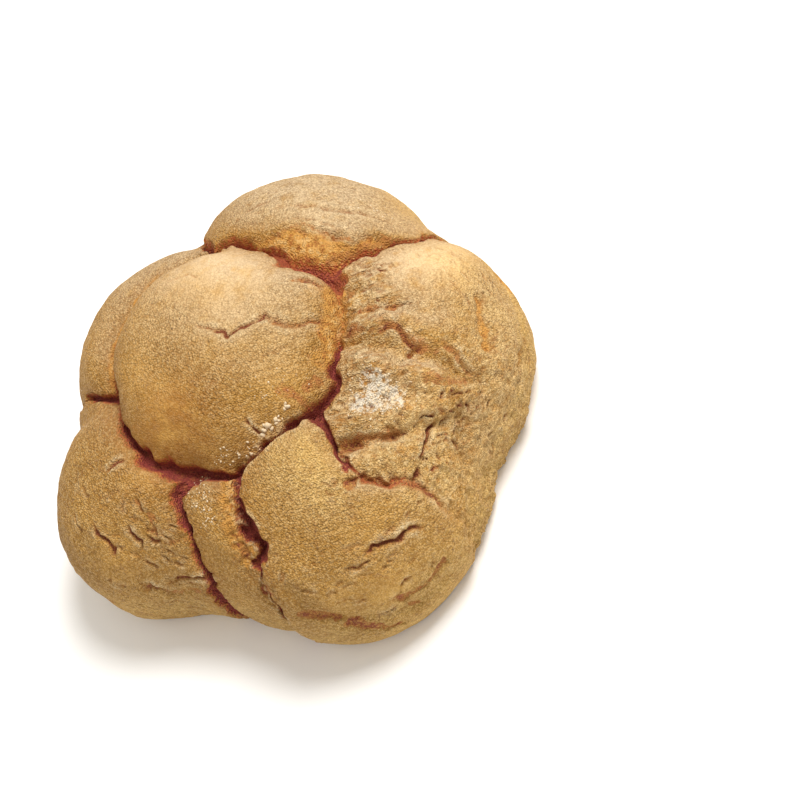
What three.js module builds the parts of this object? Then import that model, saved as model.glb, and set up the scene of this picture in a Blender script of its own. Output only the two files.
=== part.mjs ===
// Top half of a rosetta roll: a round crusty roll stamped into a flower, cut across flat with a knife.
// Millimetres, +Z up. The origin is the middle of the flat cut face, under the round boss.
import * as THREE from "three";

// Height from the cut face to the crown of the dome, before the boss lifts above it.
const DOME_HEIGHT = 40;
// The sides lean out up to this height above the cut face.
const WIDEST_AT = 9;
// How square-shouldered the dome is: 2 is an ellipse, more is boxier.
const DOME_POWER = 2.5;
// The cut edge stands in from the widest line by this share of the reach.
const CUT_TUCK = 0.05;
// Softness of the meeting of two petals on the outline.
const OUTLINE_BLEND = 1.6;

// Petals counter-clockwise from above: angle of the middle, reach from the axis to the widest line,
// radius of the petal's own outline, and how far its crust stands above the plain dome.
const PETALS = [
  { name: "ledge", angle: 26, reach: 51, round: 27, crown: 0.2 },
  { name: "back", angle: 107, reach: 44.5, round: 28, crown: -0.8 },
  { name: "left", angle: 179, reach: 51, round: 20, crown: 0 },
  { name: "wedge", angle: 226, reach: 43, round: 33, crown: -1.2 },
  { name: "smooth", angle: 269, reach: 54, round: 31, crown: 0.8 },
  { name: "wrinkled", angle: 332, reach: 55.5, round: 30, crown: -0.3 },
];

// Stations along a groove, from the boss rim (0) to the cut edge (1).
const STATIONS = [0, 0.06, 0.12, 0.18, 0.26, 0.34, 0.45, 0.6, 1];
// The groove before each petal: its angle at the stations, depth of its rounded shoulders and of its slit
// at the boss rim, and the share of both that is left at the cut edge.
const GROOVES = [
  { into: "ledge", angles: [-6, -4, -4, -5, -5, -5, -5, -3, -2], shoulder: 2.6, slit: 2.6, left: 0.4 },
  { into: "back", angles: [62, 62, 63, 64, 65, 66, 66, 67, 68], shoulder: 2.2, slit: 2, left: 0.4 },
  { into: "left", angles: [142, 142, 141, 140, 139, 138, 138, 137, 137], shoulder: 2, slit: 2, left: 0.4 },
  { into: "wedge", angles: [214, 210, 211, 214, 218, 218, 217, 216, 215], shoulder: 1.2, slit: 2.4, left: 0.55 },
  { into: "smooth", angles: [242, 242, 241, 241, 240, 242, 236, 234, 235], shoulder: 1.2, slit: 2, left: 0.5 },
  { into: "wrinkled", angles: [288, 285, 281, 278, 276, 281, 284, 284, 281], shoulder: 1.6, slit: 2, left: 0.15 },
];
// Shoulder and slit half-widths of the grooves between the petals.
const GROOVE_SHOULDER_WIDTH = 4.2;
const GROOVE_SLIT_WIDTH = 1.1;

// Boss rim: angle and distance from the axis, all round.
const BOSS_RIM = [
  [-6, 28], [16, 25.5], [38, 26], [63, 28], [90, 28.5], [122, 27], [153, 25],
  [180, 23.4], [206, 22.6], [234, 23], [264, 21.2], [290, 24.6], [322, 24.8],
];
// The boss bulges above the dome by this much in its middle.
const BOSS_RISE = 3.6;
// Share of that rise that is gone by the rim.
const BOSS_FALL = 0.6;
// Rounding of the boss down to its rim, and depth of the moat round it on the petal side.
const BOSS_ROUND_DEPTH = 3.4;
const BOSS_ROUND_WIDTH = 4.5;
const MOAT_SHOULDER = 3;
const MOAT_SHOULDER_WIDTH = 3.6;
const MOAT_SLIT = 2.6;
const MOAT_SLIT_WIDTH = 1.1;

// Torn flank of the boss towards the wrinkled petal: middle angle, half-spread, depth, width in from the rim.
const TORN_MIDDLE = -26;
const TORN_SPREAD = 30;
const TORN_DEPTH = 1.3;
const TORN_WIDTH = 6;

// Torn step on the ledge petal beside the boss: the crust starts this far out and stands this much higher.
const LEDGE_WIDTH = 5;
const LEDGE_STEP = 1.3;

// Folds, ridges and cracks in the crust: a path of angle and station, how deep they sink (a ridge is
// negative) and their half-width.
const FOLDS = [
  // Dented fold across the wrinkled petal, with a ridge on each side.
  { path: [[-38, 0.03], [-41, 0.13], [-43, 0.22], [-44, 0.36], [-46, 0.59]], depth: 1.9, width: 1.9 },
  { path: [[-51, 0.04], [-47, 0.12], [-50, 0.22], [-49, 0.38]], depth: -1.3, width: 2.2 },
  { path: [[-30, 0.08], [-35, 0.22], [-37, 0.38]], depth: -0.9, width: 2.8 },
  // Small hollow at its upper end.
  { path: [[-27, 0.04], [-26, 0.13], [-28, 0.18]], depth: 1.2, width: 1.6 },
  // Second fold, near the smooth petal, its ridge and the cracks that leave it.
  { path: [[-80, 0.14], [-76, 0.18], [-70, 0.26], [-62, 0.39], [-58, 0.49]], depth: 1.5, width: 1.7 },
  { path: [[-75, 0.08], [-67, 0.16], [-60, 0.3], [-55, 0.44]], depth: -1.2, width: 2.4 },
  { path: [[-60, 0.46], [-68, 0.44], [-75, 0.46]], depth: 0.9, width: 1.4 },
  { path: [[-55, 0.56], [-60, 0.62], [-64, 0.7]], depth: 0.7, width: 1.8 },
  // Sunk strip and chipped rim far out on the wrinkled petal.
  { path: [[-27, 0.54], [-32, 0.54], [-38, 0.57]], depth: 0.9, width: 1.4 },
  { path: [[-16, 0.82], [-22, 0.84], [-30, 0.82], [-36, 0.84]], depth: 1, width: 1.8 },
  // Zig-zag crack over the boss.
  { path: [[52, -0.82], [5, -0.87], [-26, -0.82], [-21, -0.7], [-20, -0.58], [-32, -0.3]], depth: 0.9, width: 1.1 },
  // Crack along the ledge petal.
  { path: [[42, 0.14], [26, 0.22], [12, 0.3], [2, 0.42]], depth: 0.7, width: 1.4 },
  // Crack and row of dimples on the smooth petal, low on its side.
  { path: [[266, 0.49], [273, 0.5], [276, 0.56], [280, 0.61]], depth: 0.7, width: 1.3 },
  { path: [[244, 0.51], [248, 0.66], [254, 0.76], [264, 0.84], [273, 0.86]], depth: 0.9, width: 1.8 },
  // Cracks on the left petal.
  { path: [[194, 0.68], [199, 0.6], [205, 0.52], [210, 0.56]], depth: 0.8, width: 1.3 },
  { path: [[184, 0.3], [189, 0.37], [193, 0.4]], depth: 0.6, width: 1.2 },
];
// Length of the crust from the boss rim down to the cut edge, and from the rim in to the middle of the boss.
const PETAL_RUN = 48;
const BOSS_RUN = 25;

// Soft unevenness of the risen dough.
const LUMP_HEIGHT = 0.45;

// Spacing of the surface points away from each groove and from the boss rim, then across the plain parts.
const NEAR_STEPS = [0.5, 1.1, 2, 3.2, 4.8, 6.6];
const PLAIN_STEP = 2.3;
// Distance from the axis where the columns get their spacing.
const SPACING_RADIUS = 40;

const DEG = Math.PI / 180;
// The dome runs this much past its widest line, in quarter turns, down to the cut face.
const BELOW_WIDEST = 1.12;

// Smooth curve through evenly or unevenly spaced knots.
function through(knots, values, at) {
  const last = knots.length - 1;
  let i = 0;
  while (i < last - 1 && at > knots[i + 1]) i += 1;
  const span = knots[i + 1] - knots[i];
  const t = Math.min(Math.max((at - knots[i]) / span, 0), 1);
  const slope = (k) => {
    const lo = Math.max(k - 1, 0);
    const hi = Math.min(k + 1, last);
    return (values[hi] - values[lo]) / (knots[hi] - knots[lo]);
  };
  const h = 1 - t;
  return (
    values[i] * (1 + 2 * t) * h * h +
    slope(i) * span * t * h * h +
    values[i + 1] * (1 + 2 * h) * t * t -
    slope(i + 1) * span * h * t * t
  );
}

// Angle difference brought into -180..180.
function turn(degrees) {
  return ((((degrees + 180) % 360) + 360) % 360) - 180;
}

// Reach of the widest line at an angle: the round petals, softly joined.
function reachAt(angle) {
  let sum = 0;
  for (const p of PETALS) {
    const d = turn(angle - p.angle) * DEG;
    const centre = p.reach - p.round;
    const under = p.round ** 2 - (centre * Math.sin(d)) ** 2;
    const hits = under > 0 && Math.cos(d) > -0.2;
    const reach = hits ? centre * Math.cos(d) + Math.sqrt(under) : 0;
    sum += Math.exp(reach / OUTLINE_BLEND);
  }
  return OUTLINE_BLEND * Math.log(sum);
}

// Distance of the boss rim from the axis at an angle.
function rimAt(angle) {
  const first = BOSS_RIM[0][0];
  const at = first + ((((angle - first) % 360) + 360) % 360);
  const n = BOSS_RIM.length;
  const knots = [];
  const values = [];
  for (let i = -2; i < n + 3; i += 1) {
    const lap = Math.floor(i / n);
    const [a, r] = BOSS_RIM[i - lap * n];
    knots.push(a + lap * 360);
    values.push(r);
  }
  return through(knots, values, at);
}

// Angle of a groove at a station.
function grooveAt(groove, station) {
  return through(STATIONS, groove.angles, Math.min(Math.max(station, 0), 1));
}

// Point and outward direction of the plain dome. Station 0 is the boss rim, 1 the cut edge, -1 the crown.
function domeAt(angle, station) {
  const reach = reachAt(angle);
  const rimTurn = Math.asin((rimAt(angle) / reach) ** (DOME_POWER / 2));
  const fullTurn = (BELOW_WIDEST * Math.PI) / 2;
  const t = station < 0 ? rimTurn * (1 + station) : rimTurn + (fullTurn - rimTurn) * station;
  const low = Math.max(t - Math.PI / 2, 0) / (fullTurn - Math.PI / 2);
  const out = Math.sin(Math.min(t, Math.PI / 2)) ** (2 / DOME_POWER);
  const up = Math.max(Math.cos(Math.min(t, Math.PI / 2)), 0) ** (2 / DOME_POWER);
  const rise = DOME_HEIGHT - WIDEST_AT;
  const radius = reach * out * (1 - CUT_TUCK * low * low);
  const height = t < Math.PI / 2 ? WIDEST_AT + rise * up : WIDEST_AT * (1 - low);
  const outward = low > 0 ? 1 : out ** (DOME_POWER - 1) / reach;
  const upward = low > 0 ? -0.1 * low : up ** (DOME_POWER - 1) / rise;
  const size = Math.hypot(outward, upward);
  return { radius, height, outward: outward / size, upward: upward / size };
}

// How far a point lies from the path of a fold, measured along the crust.
function foldDistance(fold, angle, station, radius) {
  const along = radius * DEG;
  const run = station < 0 ? BOSS_RUN : PETAL_RUN;
  let nearest = Infinity;
  for (let i = 0; i + 1 < fold.path.length; i += 1) {
    const [a, b] = [fold.path[i], fold.path[i + 1]];
    const px = turn(angle - a[0]) * along;
    const py = (station - a[1]) * run;
    const dx = turn(b[0] - a[0]) * along;
    const dy = (b[1] - a[1]) * run;
    const t = Math.min(Math.max((px * dx + py * dy) / (dx * dx + dy * dy + 1e-9), 0), 1);
    nearest = Math.min(nearest, Math.hypot(px - t * dx, py - t * dy));
  }
  return nearest;
}

function bell(distance, width, power) {
  return Math.exp(-((distance / width) ** power));
}

// Height of the crust over the plain dome.
function reliefAt(angle, station, radius) {
  const rim = rimAt(angle);
  const fromRim = radius - rim;
  let relief = 0;
  // Petal crowns, one blended into the next across the groove.
  let crown = 0;
  let weight = 0;
  let grooveCut = 0;
  GROOVES.forEach((groove, i) => {
    const next = GROOVES[(i + 1) % GROOVES.length];
    const st = Math.max(station, 0);
    const from = turn(angle - grooveAt(groove, st)) * DEG * radius;
    const to = turn(grooveAt(next, st) - angle) * DEG * radius;
    const inside = Math.min(from, to);
    const w = 1 / (1 + Math.exp(-Math.max(Math.min(inside / 0.6, 30), -30)));
    crown += w * PETALS[i].crown;
    weight += w;
    const away = Math.hypot(from, Math.min(fromRim, 0) * 2);
    const share = 1 + (groove.left - 1) * Math.sqrt(st);
    const cut =
      groove.shoulder * bell(away, GROOVE_SHOULDER_WIDTH, 1.4) + groove.slit * bell(away, GROOVE_SLIT_WIDTH, 2);
    grooveCut = Math.max(grooveCut, cut * share);
  });
  const onPetals = 1 / (1 + Math.exp(-fromRim / 0.6));
  relief += (crown / weight) * onPetals;
  // Boss: a low dome, rounded down to its rim.
  const inBoss = Math.max(1 - radius / rim, 0);
  relief += (1 - onPetals) * BOSS_RISE * (1 - BOSS_FALL * (1 - inBoss) ** 2);
  const tornSide = bell(Math.abs(turn(angle - TORN_MIDDLE)), TORN_SPREAD, 4);
  relief -= ((1 - onPetals) * tornSide * TORN_DEPTH) / (1 + Math.exp(-(fromRim + TORN_WIDTH) / 0.9));
  relief -= (1 - onPetals) * BOSS_ROUND_DEPTH * bell(Math.abs(fromRim), BOSS_ROUND_WIDTH, 1.5);
  // Moat round the boss and the grooves between the petals.
  const moat =
    MOAT_SHOULDER * bell(Math.abs(fromRim), MOAT_SHOULDER_WIDTH, 1.5) * onPetals +
    MOAT_SLIT * bell(Math.abs(fromRim), MOAT_SLIT_WIDTH, 2);
  relief -= Math.max(moat, grooveCut) + 0.35 * Math.min(moat, grooveCut);
  // Torn step beside the boss on the ledge petal.
  const onLedge = bell(turn(angle - PETALS[0].angle), 30, 6);
  relief -= (onLedge * LEDGE_STEP * onPetals) / (1 + Math.exp((fromRim - LEDGE_WIDTH) / 0.5));
  // Folds and cracks.
  for (const fold of FOLDS) {
    relief -= fold.depth * bell(foldDistance(fold, angle, station, radius), fold.width, 2);
  }
  return relief;
}

// Soft lumps of the dough, by place on the crust.
function lumpAt(x, y, z) {
  const a = Math.sin(x / 3.4 + 1.3 + Math.sin(y / 6.1)) * Math.sin(y / 3.9 + 0.4 + Math.sin(z / 4.7));
  const b = Math.sin(x / 7.3 - y / 6.2 + 0.8) * Math.sin(y / 8.1 + x / 9.4 + z / 6.6 + 2.1);
  return LUMP_HEIGHT * (0.5 * a + 0.8 * b);
}

// A point of the crust.
function crustPoint(angle, station) {
  const dome = domeAt(angle, station);
  const c = Math.cos(angle * DEG);
  const s = Math.sin(angle * DEG);
  const settle = Math.min(Math.max(dome.height / 6, 0), 1);
  const lump = lumpAt(dome.radius * c, dome.radius * s, dome.height);
  const lift = reliefAt(angle, station, dome.radius) + lump;
  const radius = Math.max(dome.radius + lift * dome.outward, 0);
  const height = Math.max(dome.height + lift * dome.upward * settle, 0);
  return [radius * c, radius * s, height];
}

// Even steps between two ends that are already spaced finely near the ends.
function graded(length, nearStart, nearEnd) {
  const start = nearStart.filter((d) => d < length * 0.45);
  const end = nearEnd.filter((d) => d < length * 0.45).map((d) => length - d);
  const lo = start.length ? start[start.length - 1] : 0;
  const hi = end.length ? end[end.length - 1] : length;
  const count = Math.max(Math.round((hi - lo) / PLAIN_STEP), 1);
  const middle = [];
  for (let i = 1; i < count; i += 1) middle.push(lo + ((hi - lo) * i) / count);
  return [0, ...start, ...middle, ...end.reverse()].map((d) => d / length);
}

// Columns: each belongs to a petal, at a share of the way from its groove to the next.
const columns = [];
GROOVES.forEach((groove, i) => {
  const next = GROOVES[(i + 1) % GROOVES.length];
  const width = turn(grooveAt(next, 0.4) - grooveAt(groove, 0.4)) * DEG * SPACING_RADIUS;
  for (const share of graded(width, NEAR_STEPS, NEAR_STEPS)) columns.push({ groove, next, share });
});

// Rings: stations from the crown of the boss to the cut edge.
const bossStations = graded(BOSS_RUN, NEAR_STEPS, []).slice(1).map((d) => -d).reverse();
const petalStations = graded(PETAL_RUN, NEAR_STEPS, []);
const rings = [...bossStations, ...petalStations, 1];

function columnAngle(column, station) {
  const st = Math.max(station, 0);
  const a = grooveAt(column.groove, st);
  return a + turn(grooveAt(column.next, st) - a) * column.share;
}

const positions = [];
const faces = [];
positions.push(...crustPoint(0, -1));
for (const station of rings) {
  for (const column of columns) positions.push(...crustPoint(columnAngle(column, station), station));
}
const around = columns.length;
const at = (ring, column) => 1 + ring * around + (column % around);
for (let c = 0; c < around; c += 1) faces.push(0, at(0, c), at(0, c + 1));
for (let r = 0; r + 1 < rings.length; r += 1) {
  for (let c = 0; c < around; c += 1) {
    faces.push(at(r, c), at(r + 1, c), at(r + 1, c + 1));
    faces.push(at(r, c), at(r + 1, c + 1), at(r, c + 1));
  }
}
// Flat cut face, closed from its middle.
const lastRing = rings.length - 1;
for (let c = 0; c < around; c += 1) positions[at(lastRing, c) * 3 + 2] = 0;
const middle = positions.length / 3;
positions.push(0, 0, 0);
for (let c = 0; c < around; c += 1) faces.push(middle, at(lastRing, c + 1), at(lastRing, c));

const geometry = new THREE.BufferGeometry();
geometry.setAttribute("position", new THREE.Float32BufferAttribute(positions, 3));
geometry.setIndex(faces);
geometry.computeVertexNormals();
const crust = new THREE.MeshStandardMaterial({ name: "golden_crust", color: 0xd9b077, roughness: 0.85 });
const half = new THREE.Mesh(geometry, crust);
half.name = "rosetta_top_half";
const group = new THREE.Group();
group.add(half);

export default group;
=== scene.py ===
# %% [markdown]
# # The top half of a rosetta roll
# A rosetta is a crusty roll stamped with a cutter before it is baked: a round boss in the middle and a
# ring of petals that puff up round it. This one is cut across, and the crusty top half lies on its
# crumb. The lesson builds it in Blender over a measured frame: first the form, as an array of points,
# then the cracks, then the crust and crumb as node materials, and last the studio.

# %% The measured frame
import itertools
import math

import bpy
import numpy as np
from mathutils import Matrix, Vector


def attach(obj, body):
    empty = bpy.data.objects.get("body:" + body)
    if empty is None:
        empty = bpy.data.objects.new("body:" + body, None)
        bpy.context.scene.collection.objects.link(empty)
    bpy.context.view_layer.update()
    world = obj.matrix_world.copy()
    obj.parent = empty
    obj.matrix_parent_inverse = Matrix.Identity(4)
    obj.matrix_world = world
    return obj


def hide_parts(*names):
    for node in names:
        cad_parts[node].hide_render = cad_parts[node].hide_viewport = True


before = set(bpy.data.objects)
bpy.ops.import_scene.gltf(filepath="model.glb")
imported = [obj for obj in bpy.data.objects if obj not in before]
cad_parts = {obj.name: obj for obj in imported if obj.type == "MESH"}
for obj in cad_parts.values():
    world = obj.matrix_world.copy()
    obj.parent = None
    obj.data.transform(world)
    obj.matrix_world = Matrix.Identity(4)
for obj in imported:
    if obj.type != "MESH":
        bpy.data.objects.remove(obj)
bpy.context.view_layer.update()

MM = 0.001

# %% [markdown]
# ## The plain dome
# Under its folds the half roll is a dome with square shoulders, a superellipse turned round an axis
# whose reach changes with the angle. Each petal is a round outline pushed out from the axis, and the
# petals are joined softly. A sculpted blob would do, but with named sizes in millimetres the form
# keeps to the measured solid and each groove can be placed by an angle.

# %% Sizes of the dome and the petals, in millimetres and degrees
DOME_HEIGHT = 40
WIDEST_AT = 9
DOME_POWER = 2.5
CUT_TUCK = 0.05
OUTLINE_BLEND = 1.6
BELOW_WIDEST = 1.12
PETALS = {
    "ledge": dict(angle=26, reach=51, round=27, crown=0.2, moat=2.2),
    "back": dict(angle=107, reach=44.5, round=28, crown=-0.8, moat=3.0),
    "left": dict(angle=179, reach=51, round=20, crown=0.0, moat=3.0),
    "wedge": dict(angle=226, reach=43, round=33, crown=-1.2, moat=1.4),
    "smooth": dict(angle=269, reach=54, round=31, crown=0.8, moat=1.6),
    "wrinkled": dict(angle=332, reach=55.5, round=30, crown=-0.3, moat=2.2),
}
BOSS_RUN = 25
PETAL_RUN = 48


def turn(degrees):
    """An angle difference brought into -180 to 180."""
    return (np.asarray(degrees, float) + 180) % 360 - 180


def through(knots, values, at):
    """A smooth curve through a few knots."""
    knots, values = np.asarray(knots, float), np.asarray(values, float)
    last = len(knots) - 1
    i = np.clip(np.searchsorted(knots, at) - 1, 0, last - 1)
    before, after = np.maximum(np.arange(last + 1) - 1, 0), np.minimum(np.arange(last + 1) + 1, last)
    slope = (values[after] - values[before]) / (knots[after] - knots[before])
    span = knots[i + 1] - knots[i]
    t = np.clip((at - knots[i]) / span, 0, 1)
    h = 1 - t
    ends = values[i] * (1 + 2 * t) * h * h + values[i + 1] * (1 + 2 * h) * t * t
    return ends + slope[i] * span * t * h * h - slope[i + 1] * span * h * t * t


def reach_at(angle):
    """Distance from the axis to the widest line of the roll."""
    total = 0
    for petal in PETALS.values():
        off = np.radians(turn(angle - petal["angle"]))
        middle = petal["reach"] - petal["round"]
        under = petal["round"] ** 2 - (middle * np.sin(off)) ** 2
        hits = (under > 0) & (np.cos(off) > -0.2)
        reach = np.where(hits, middle * np.cos(off) + np.sqrt(np.maximum(under, 0)), 0)
        total = total + np.exp(reach / OUTLINE_BLEND)
    return OUTLINE_BLEND * np.log(total)


print("reach of the smooth petal, mm:", round(float(reach_at(269.0)), 1))

# %% [markdown]
# ## The boss rim and the grooves
# The cutter leaves a ring round the boss and a groove between each pair of petals. A place on the
# crust is given by its angle and a station: -1 is the crown, 0 the boss rim, 1 the cut edge. Each
# groove is one angle at a few stations, so it can wander as the dough did.

# %% Boss rim and grooves
BOSS_RIM = [
    (-6, 28), (16, 25.5), (38, 26), (63, 28), (90, 28.5), (122, 27), (153, 25),
    (180, 23.4), (206, 22.6), (234, 23), (264, 21.2), (290, 24.6), (322, 24.8),
]
STATIONS = [0, 0.06, 0.12, 0.18, 0.26, 0.34, 0.45, 0.6, 1]
# Each groove comes before the petal it is named for: its angle at the stations, how deep its shoulders
# bend, what is left of that at the cut edge, and the depth and half width of its torn slit.
GROOVES = {
    "ledge": dict(
        angles=[-1, 0, -1.5, -2.5, -3.5, -3.5, -4, -3, -2], shoulder=2.6, left=0.4,
        slit=[1.9, 1.9, 2.0, 2.1, 2.1, 2.0, 1.8, 1.4, 1], gape=[1.9, 1.3, 1.15, 1.15, 1.1, 0.9, 0.6, 0.5, 0.4],
    ),
    "back": dict(
        angles=[62, 62, 63, 64, 65, 66, 66, 67, 68], shoulder=2.2, left=0.4,
        slit=[2.4, 2.4, 2.4, 2.2, 2.2, 2.2, 2, 1.4, 0.8], gape=[1.0, 0.8, 0.8, 0.7, 0.6, 0.6, 0.6, 0.5, 0.4],
    ),
    "left": dict(
        angles=[142, 142, 141, 140, 139, 138, 138, 137, 137], shoulder=2.0, left=0.4,
        slit=[2.6, 2.6, 2.6, 2.4, 2.2, 2.2, 2, 1.4, 0.8], gape=[1.2, 0.9, 0.7, 0.8, 0.6, 0.6, 0.5, 0.5, 0.4],
    ),
    "wedge": dict(
        angles=[214, 210.5, 209, 210, 213.5, 216, 217, 218.3, 219], shoulder=1.2, left=0.6,
        slit=[2.8, 2.8, 2.8, 2.8, 2.6, 2.6, 2.2, 1.9, 1.2], gape=[0.95, 0.95, 0.95, 0.95, 0.9, 0.8, 0.7, 0.9, 0.8],
    ),
    "smooth": dict(
        angles=[240.5, 239, 237.5, 238.5, 239, 241.5, 237, 238, 238], shoulder=1.2, left=0.5,
        slit=[2.8, 2.6, 2.6, 2.8, 2.6, 2.4, 1.6, 2.0, 0.9], gape=[0.9, 0.8, 0.95, 1.3, 1.2, 1.0, 0.45, 0.8, 0.7],
    ),
    "wrinkled": dict(
        angles=[288, 284.5, 281, 278, 276, 281, 284, 284, 281], shoulder=1.6, left=0.15,
        slit=[3.2, 3.0, 2.0, 1.3, 0.7, 0.7, 0.5, 0, 0], gape=[0.85, 0.62, 0.5, 0.4, 0.35, 0.9, 1.0, 1.0, 1.0],
    ),
}
# The moat round the boss: angle, depth of its slit, half width, and how far out it lies.
MOAT = [
    (-7, 1.9, 1.6, 0.2), (-2, 2.0, 2.3, 0.7), (3, 2.0, 1.7, -0.5), (8, 2.2, 1.3, -1.2), (18, 2.2, 1.25, -0.6),
    (31, 2.3, 1.0, 0.5), (60, 2.8, 0.8, 0), (110, 2.8, 0.8, 0), (140, 2.6, 1.0, -0.8), (160, 2.6, 0.7, -0.8),
    (178, 3.0, 1.0, 0.2), (200, 3.6, 1.6, 0.9), (212, 3.6, 1.5, 0.9), (221, 3.2, 0.65, 0.1), (236, 3.0, 0.65, 0.4),
    (247, 3.0, 0.8, 0.2), (262, 2.8, 0.85, 0), (285, 2.6, 0.9, -0.7), (298, 3.2, 1.2, 0.2), (307, 2.8, 0.9, 0.5),
    (313, 2.4, 0.8, -0.4), (319, 2.0, 0.75, -0.3), (328, 1.1, 0.6, -0.4), (336, 0.8, 0.5, -0.6),
    (342, 0.9, 0.5, -0.7), (346, 0.9, 0.5, -0.4), (349, 1.3, 1.0, 0.2),
]


def rim_at(angle):
    """Distance of the boss rim from the axis."""
    n = len(BOSS_RIM)
    first = BOSS_RIM[0][0]
    laps = [(BOSS_RIM[i % n][0] + i // n * 360, BOSS_RIM[i % n][1]) for i in range(-2, n + 3)]
    return through([a for a, _ in laps], [r for _, r in laps], first + (np.asarray(angle) - first) % 360)


def groove_at(name, station, what="angles"):
    """Angle, slit or gape of the groove that comes before a petal."""
    return through(STATIONS, GROOVES[name][what], np.clip(station, 0, 1))


def dome_at(angle, station):
    """Distance from the axis, height, and the outward direction of the plain dome."""
    reach, full = reach_at(angle), BELOW_WIDEST * math.pi / 2
    rim_turn = np.arcsin((rim_at(angle) / reach) ** (DOME_POWER / 2))
    t = np.where(station < 0, rim_turn * (1 + station), rim_turn + (full - rim_turn) * station)
    low = np.maximum(t - math.pi / 2, 0) / (full - math.pi / 2)
    out = np.sin(np.minimum(t, math.pi / 2)) ** (2 / DOME_POWER)
    up = np.maximum(np.cos(np.minimum(t, math.pi / 2)), 0) ** (2 / DOME_POWER)
    rise = DOME_HEIGHT - WIDEST_AT
    radius = reach * out * (1 - CUT_TUCK * low * low)
    height = np.where(t < math.pi / 2, WIDEST_AT + rise * up, WIDEST_AT * (1 - low))
    outward = np.where(low > 0, 1, out ** (DOME_POWER - 1) / reach)
    upward = np.where(low > 0, -0.1 * low, up ** (DOME_POWER - 1) / rise)
    size = np.hypot(outward, upward)
    return radius, height, outward / size, upward / size


print("boss rim on the wrinkled side, mm:", round(float(rim_at(-26.0)), 1))

# %% [markdown]
# ## Points on the crust
# A square sheet of points is laid over the dome, its middle on the crown and its four sides on the cut
# edge. Rings of points would crowd at the crown and thin out below; the square keeps all cells alike,
# about a quarter of a millimetre, so a crack is as sharp anywhere. It unrolls for a texture as well.

# %% A square sheet laid over the dome
ACROSS = 520


def bell(distance, width, power=2):
    """1 in the middle and 0 far away; a high power gives it a flat top."""
    return np.exp(-np.abs(distance / width) ** power)


def step(value, middle, softness):
    """0 below the middle and 1 above it, over a soft edge."""
    return 1 / (1 + np.exp(-np.clip((value - middle) / softness, -40, 40)))


side = np.linspace(-1, 1, ACROSS)
sheet_u, sheet_v = np.meshgrid(side, side, indexing="ij")
wide = np.abs(sheet_u) >= np.abs(sheet_v)
safe_u, safe_v = np.where(sheet_u == 0, 1e-9, sheet_u), np.where(sheet_v == 0, 1e-9, sheet_v)
turned = np.where(
    wide,
    sheet_v / safe_u * 45 + np.where(sheet_u < 0, 180, 0),
    90 - sheet_u / safe_v * 45 + np.where(sheet_v < 0, 180, 0),
)
angle = np.where((sheet_u == 0) & (sheet_v == 0), 0, turned)
ring = np.maximum(np.abs(sheet_u), np.abs(sheet_v))

# Rings are spaced evenly along the crust of a typical petal.
trial = np.linspace(-1, 1, 2001)
trial_radius, trial_height, _, _ = dome_at(np.full_like(trial, 269.0), trial)
run = np.concatenate([[0], np.cumsum(np.hypot(np.diff(trial_radius), np.diff(trial_height)))])
station = np.interp(ring * run[-1], run, trial)
radius, height, outward, upward = dome_at(angle, station)
radians = np.radians(angle)
place = np.stack([radius * np.cos(radians), radius * np.sin(radians), height], -1)
print("crown to cut edge along the crust, mm:", round(float(run[-1]), 1), "cell, mm:", round(2 * run[-1] / ACROSS, 2))

# %% [markdown]
# ## Unevenness
# Dough is never smooth. A value noise, random numbers on a lattice with smooth blends between them,
# gives bumps of a chosen size in millimetres. Cells round random points give crumbs, and a noise cut
# into levels gives flakes. Blender has noise textures for this, but numbers in the mesh are needed
# here, because they also bend the cracks.

# %% Random fields of a chosen size
def lattice_number(cell, seed):
    """One random whole number for each cell of a lattice."""
    x, y, z = (cell[..., k] * prime for k, prime in enumerate((374761393, 668265263, 2147483647)))
    h = (x + y + z + seed * 1274126177) & 0xFFFFFFFF
    h = ((h ^ (h >> 13)) * 1274126177) & 0xFFFFFFFF
    return h ^ (h >> 16)


def uneven(points, size, seed):
    """A smooth random field from -1 to 1 with bumps of about that size."""
    q = np.asarray(points, float) / size + np.array([seed * 7.31, seed * 3.17, seed * 5.71])
    cell = np.floor(q).astype(np.int64)
    f = q - cell
    f = f * f * f * (f * (f * 6 - 15) + 10)
    total = np.zeros(q.shape[:-1])
    for corner in itertools.product((0, 1), repeat=3):
        h = lattice_number(cell + np.array(corner), seed) & 0xFFFF
        share = np.prod(np.where(np.array(corner) == 1, f, 1 - f), axis=-1)
        total += share * (h / 32767.5 - 1)
    return total


def granules(points, size, seed):
    """Round grains scattered about that far apart: 1 on top of a grain, 0 between them."""
    q = np.asarray(points, float) / size
    cell = np.floor(q).astype(np.int64)
    nearest = np.full(q.shape[:-1], 9.0)
    for corner in itertools.product((-1, 0, 1), repeat=3):
        c = cell + np.array(corner)
        h = lattice_number(c, seed)
        middle = c + np.stack([h & 1023, (h >> 10) & 1023, (h >> 20) & 1023], -1) / 1023
        nearest = np.minimum(nearest, ((q - middle) ** 2).sum(-1))
    return np.clip(1 - nearest / 0.6, 0, 1)


def flakes(points, size, seed, levels=2.6):
    """Ledges of torn skin: a noise cut into flat levels with sharp edges."""
    steps = levels * uneven(points, size, seed)
    return (np.floor(steps) + step(steps - np.floor(steps), 0.5, 0.05)) / levels


def soft_lump(p):
    """The slow lumps of the risen dough."""
    x, y, z = p[..., 0], p[..., 1], p[..., 2]
    a = np.sin(x / 3.4 + 1.3 + np.sin(y / 6.1)) * np.sin(y / 3.9 + 0.4 + np.sin(z / 4.7))
    b = np.sin(x / 7.3 - y / 6.2 + 0.8) * np.sin(y / 8.1 + x / 9.4 + z / 6.6 + 2.1)
    return 0.45 * (0.5 * a + 0.8 * b)


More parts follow.
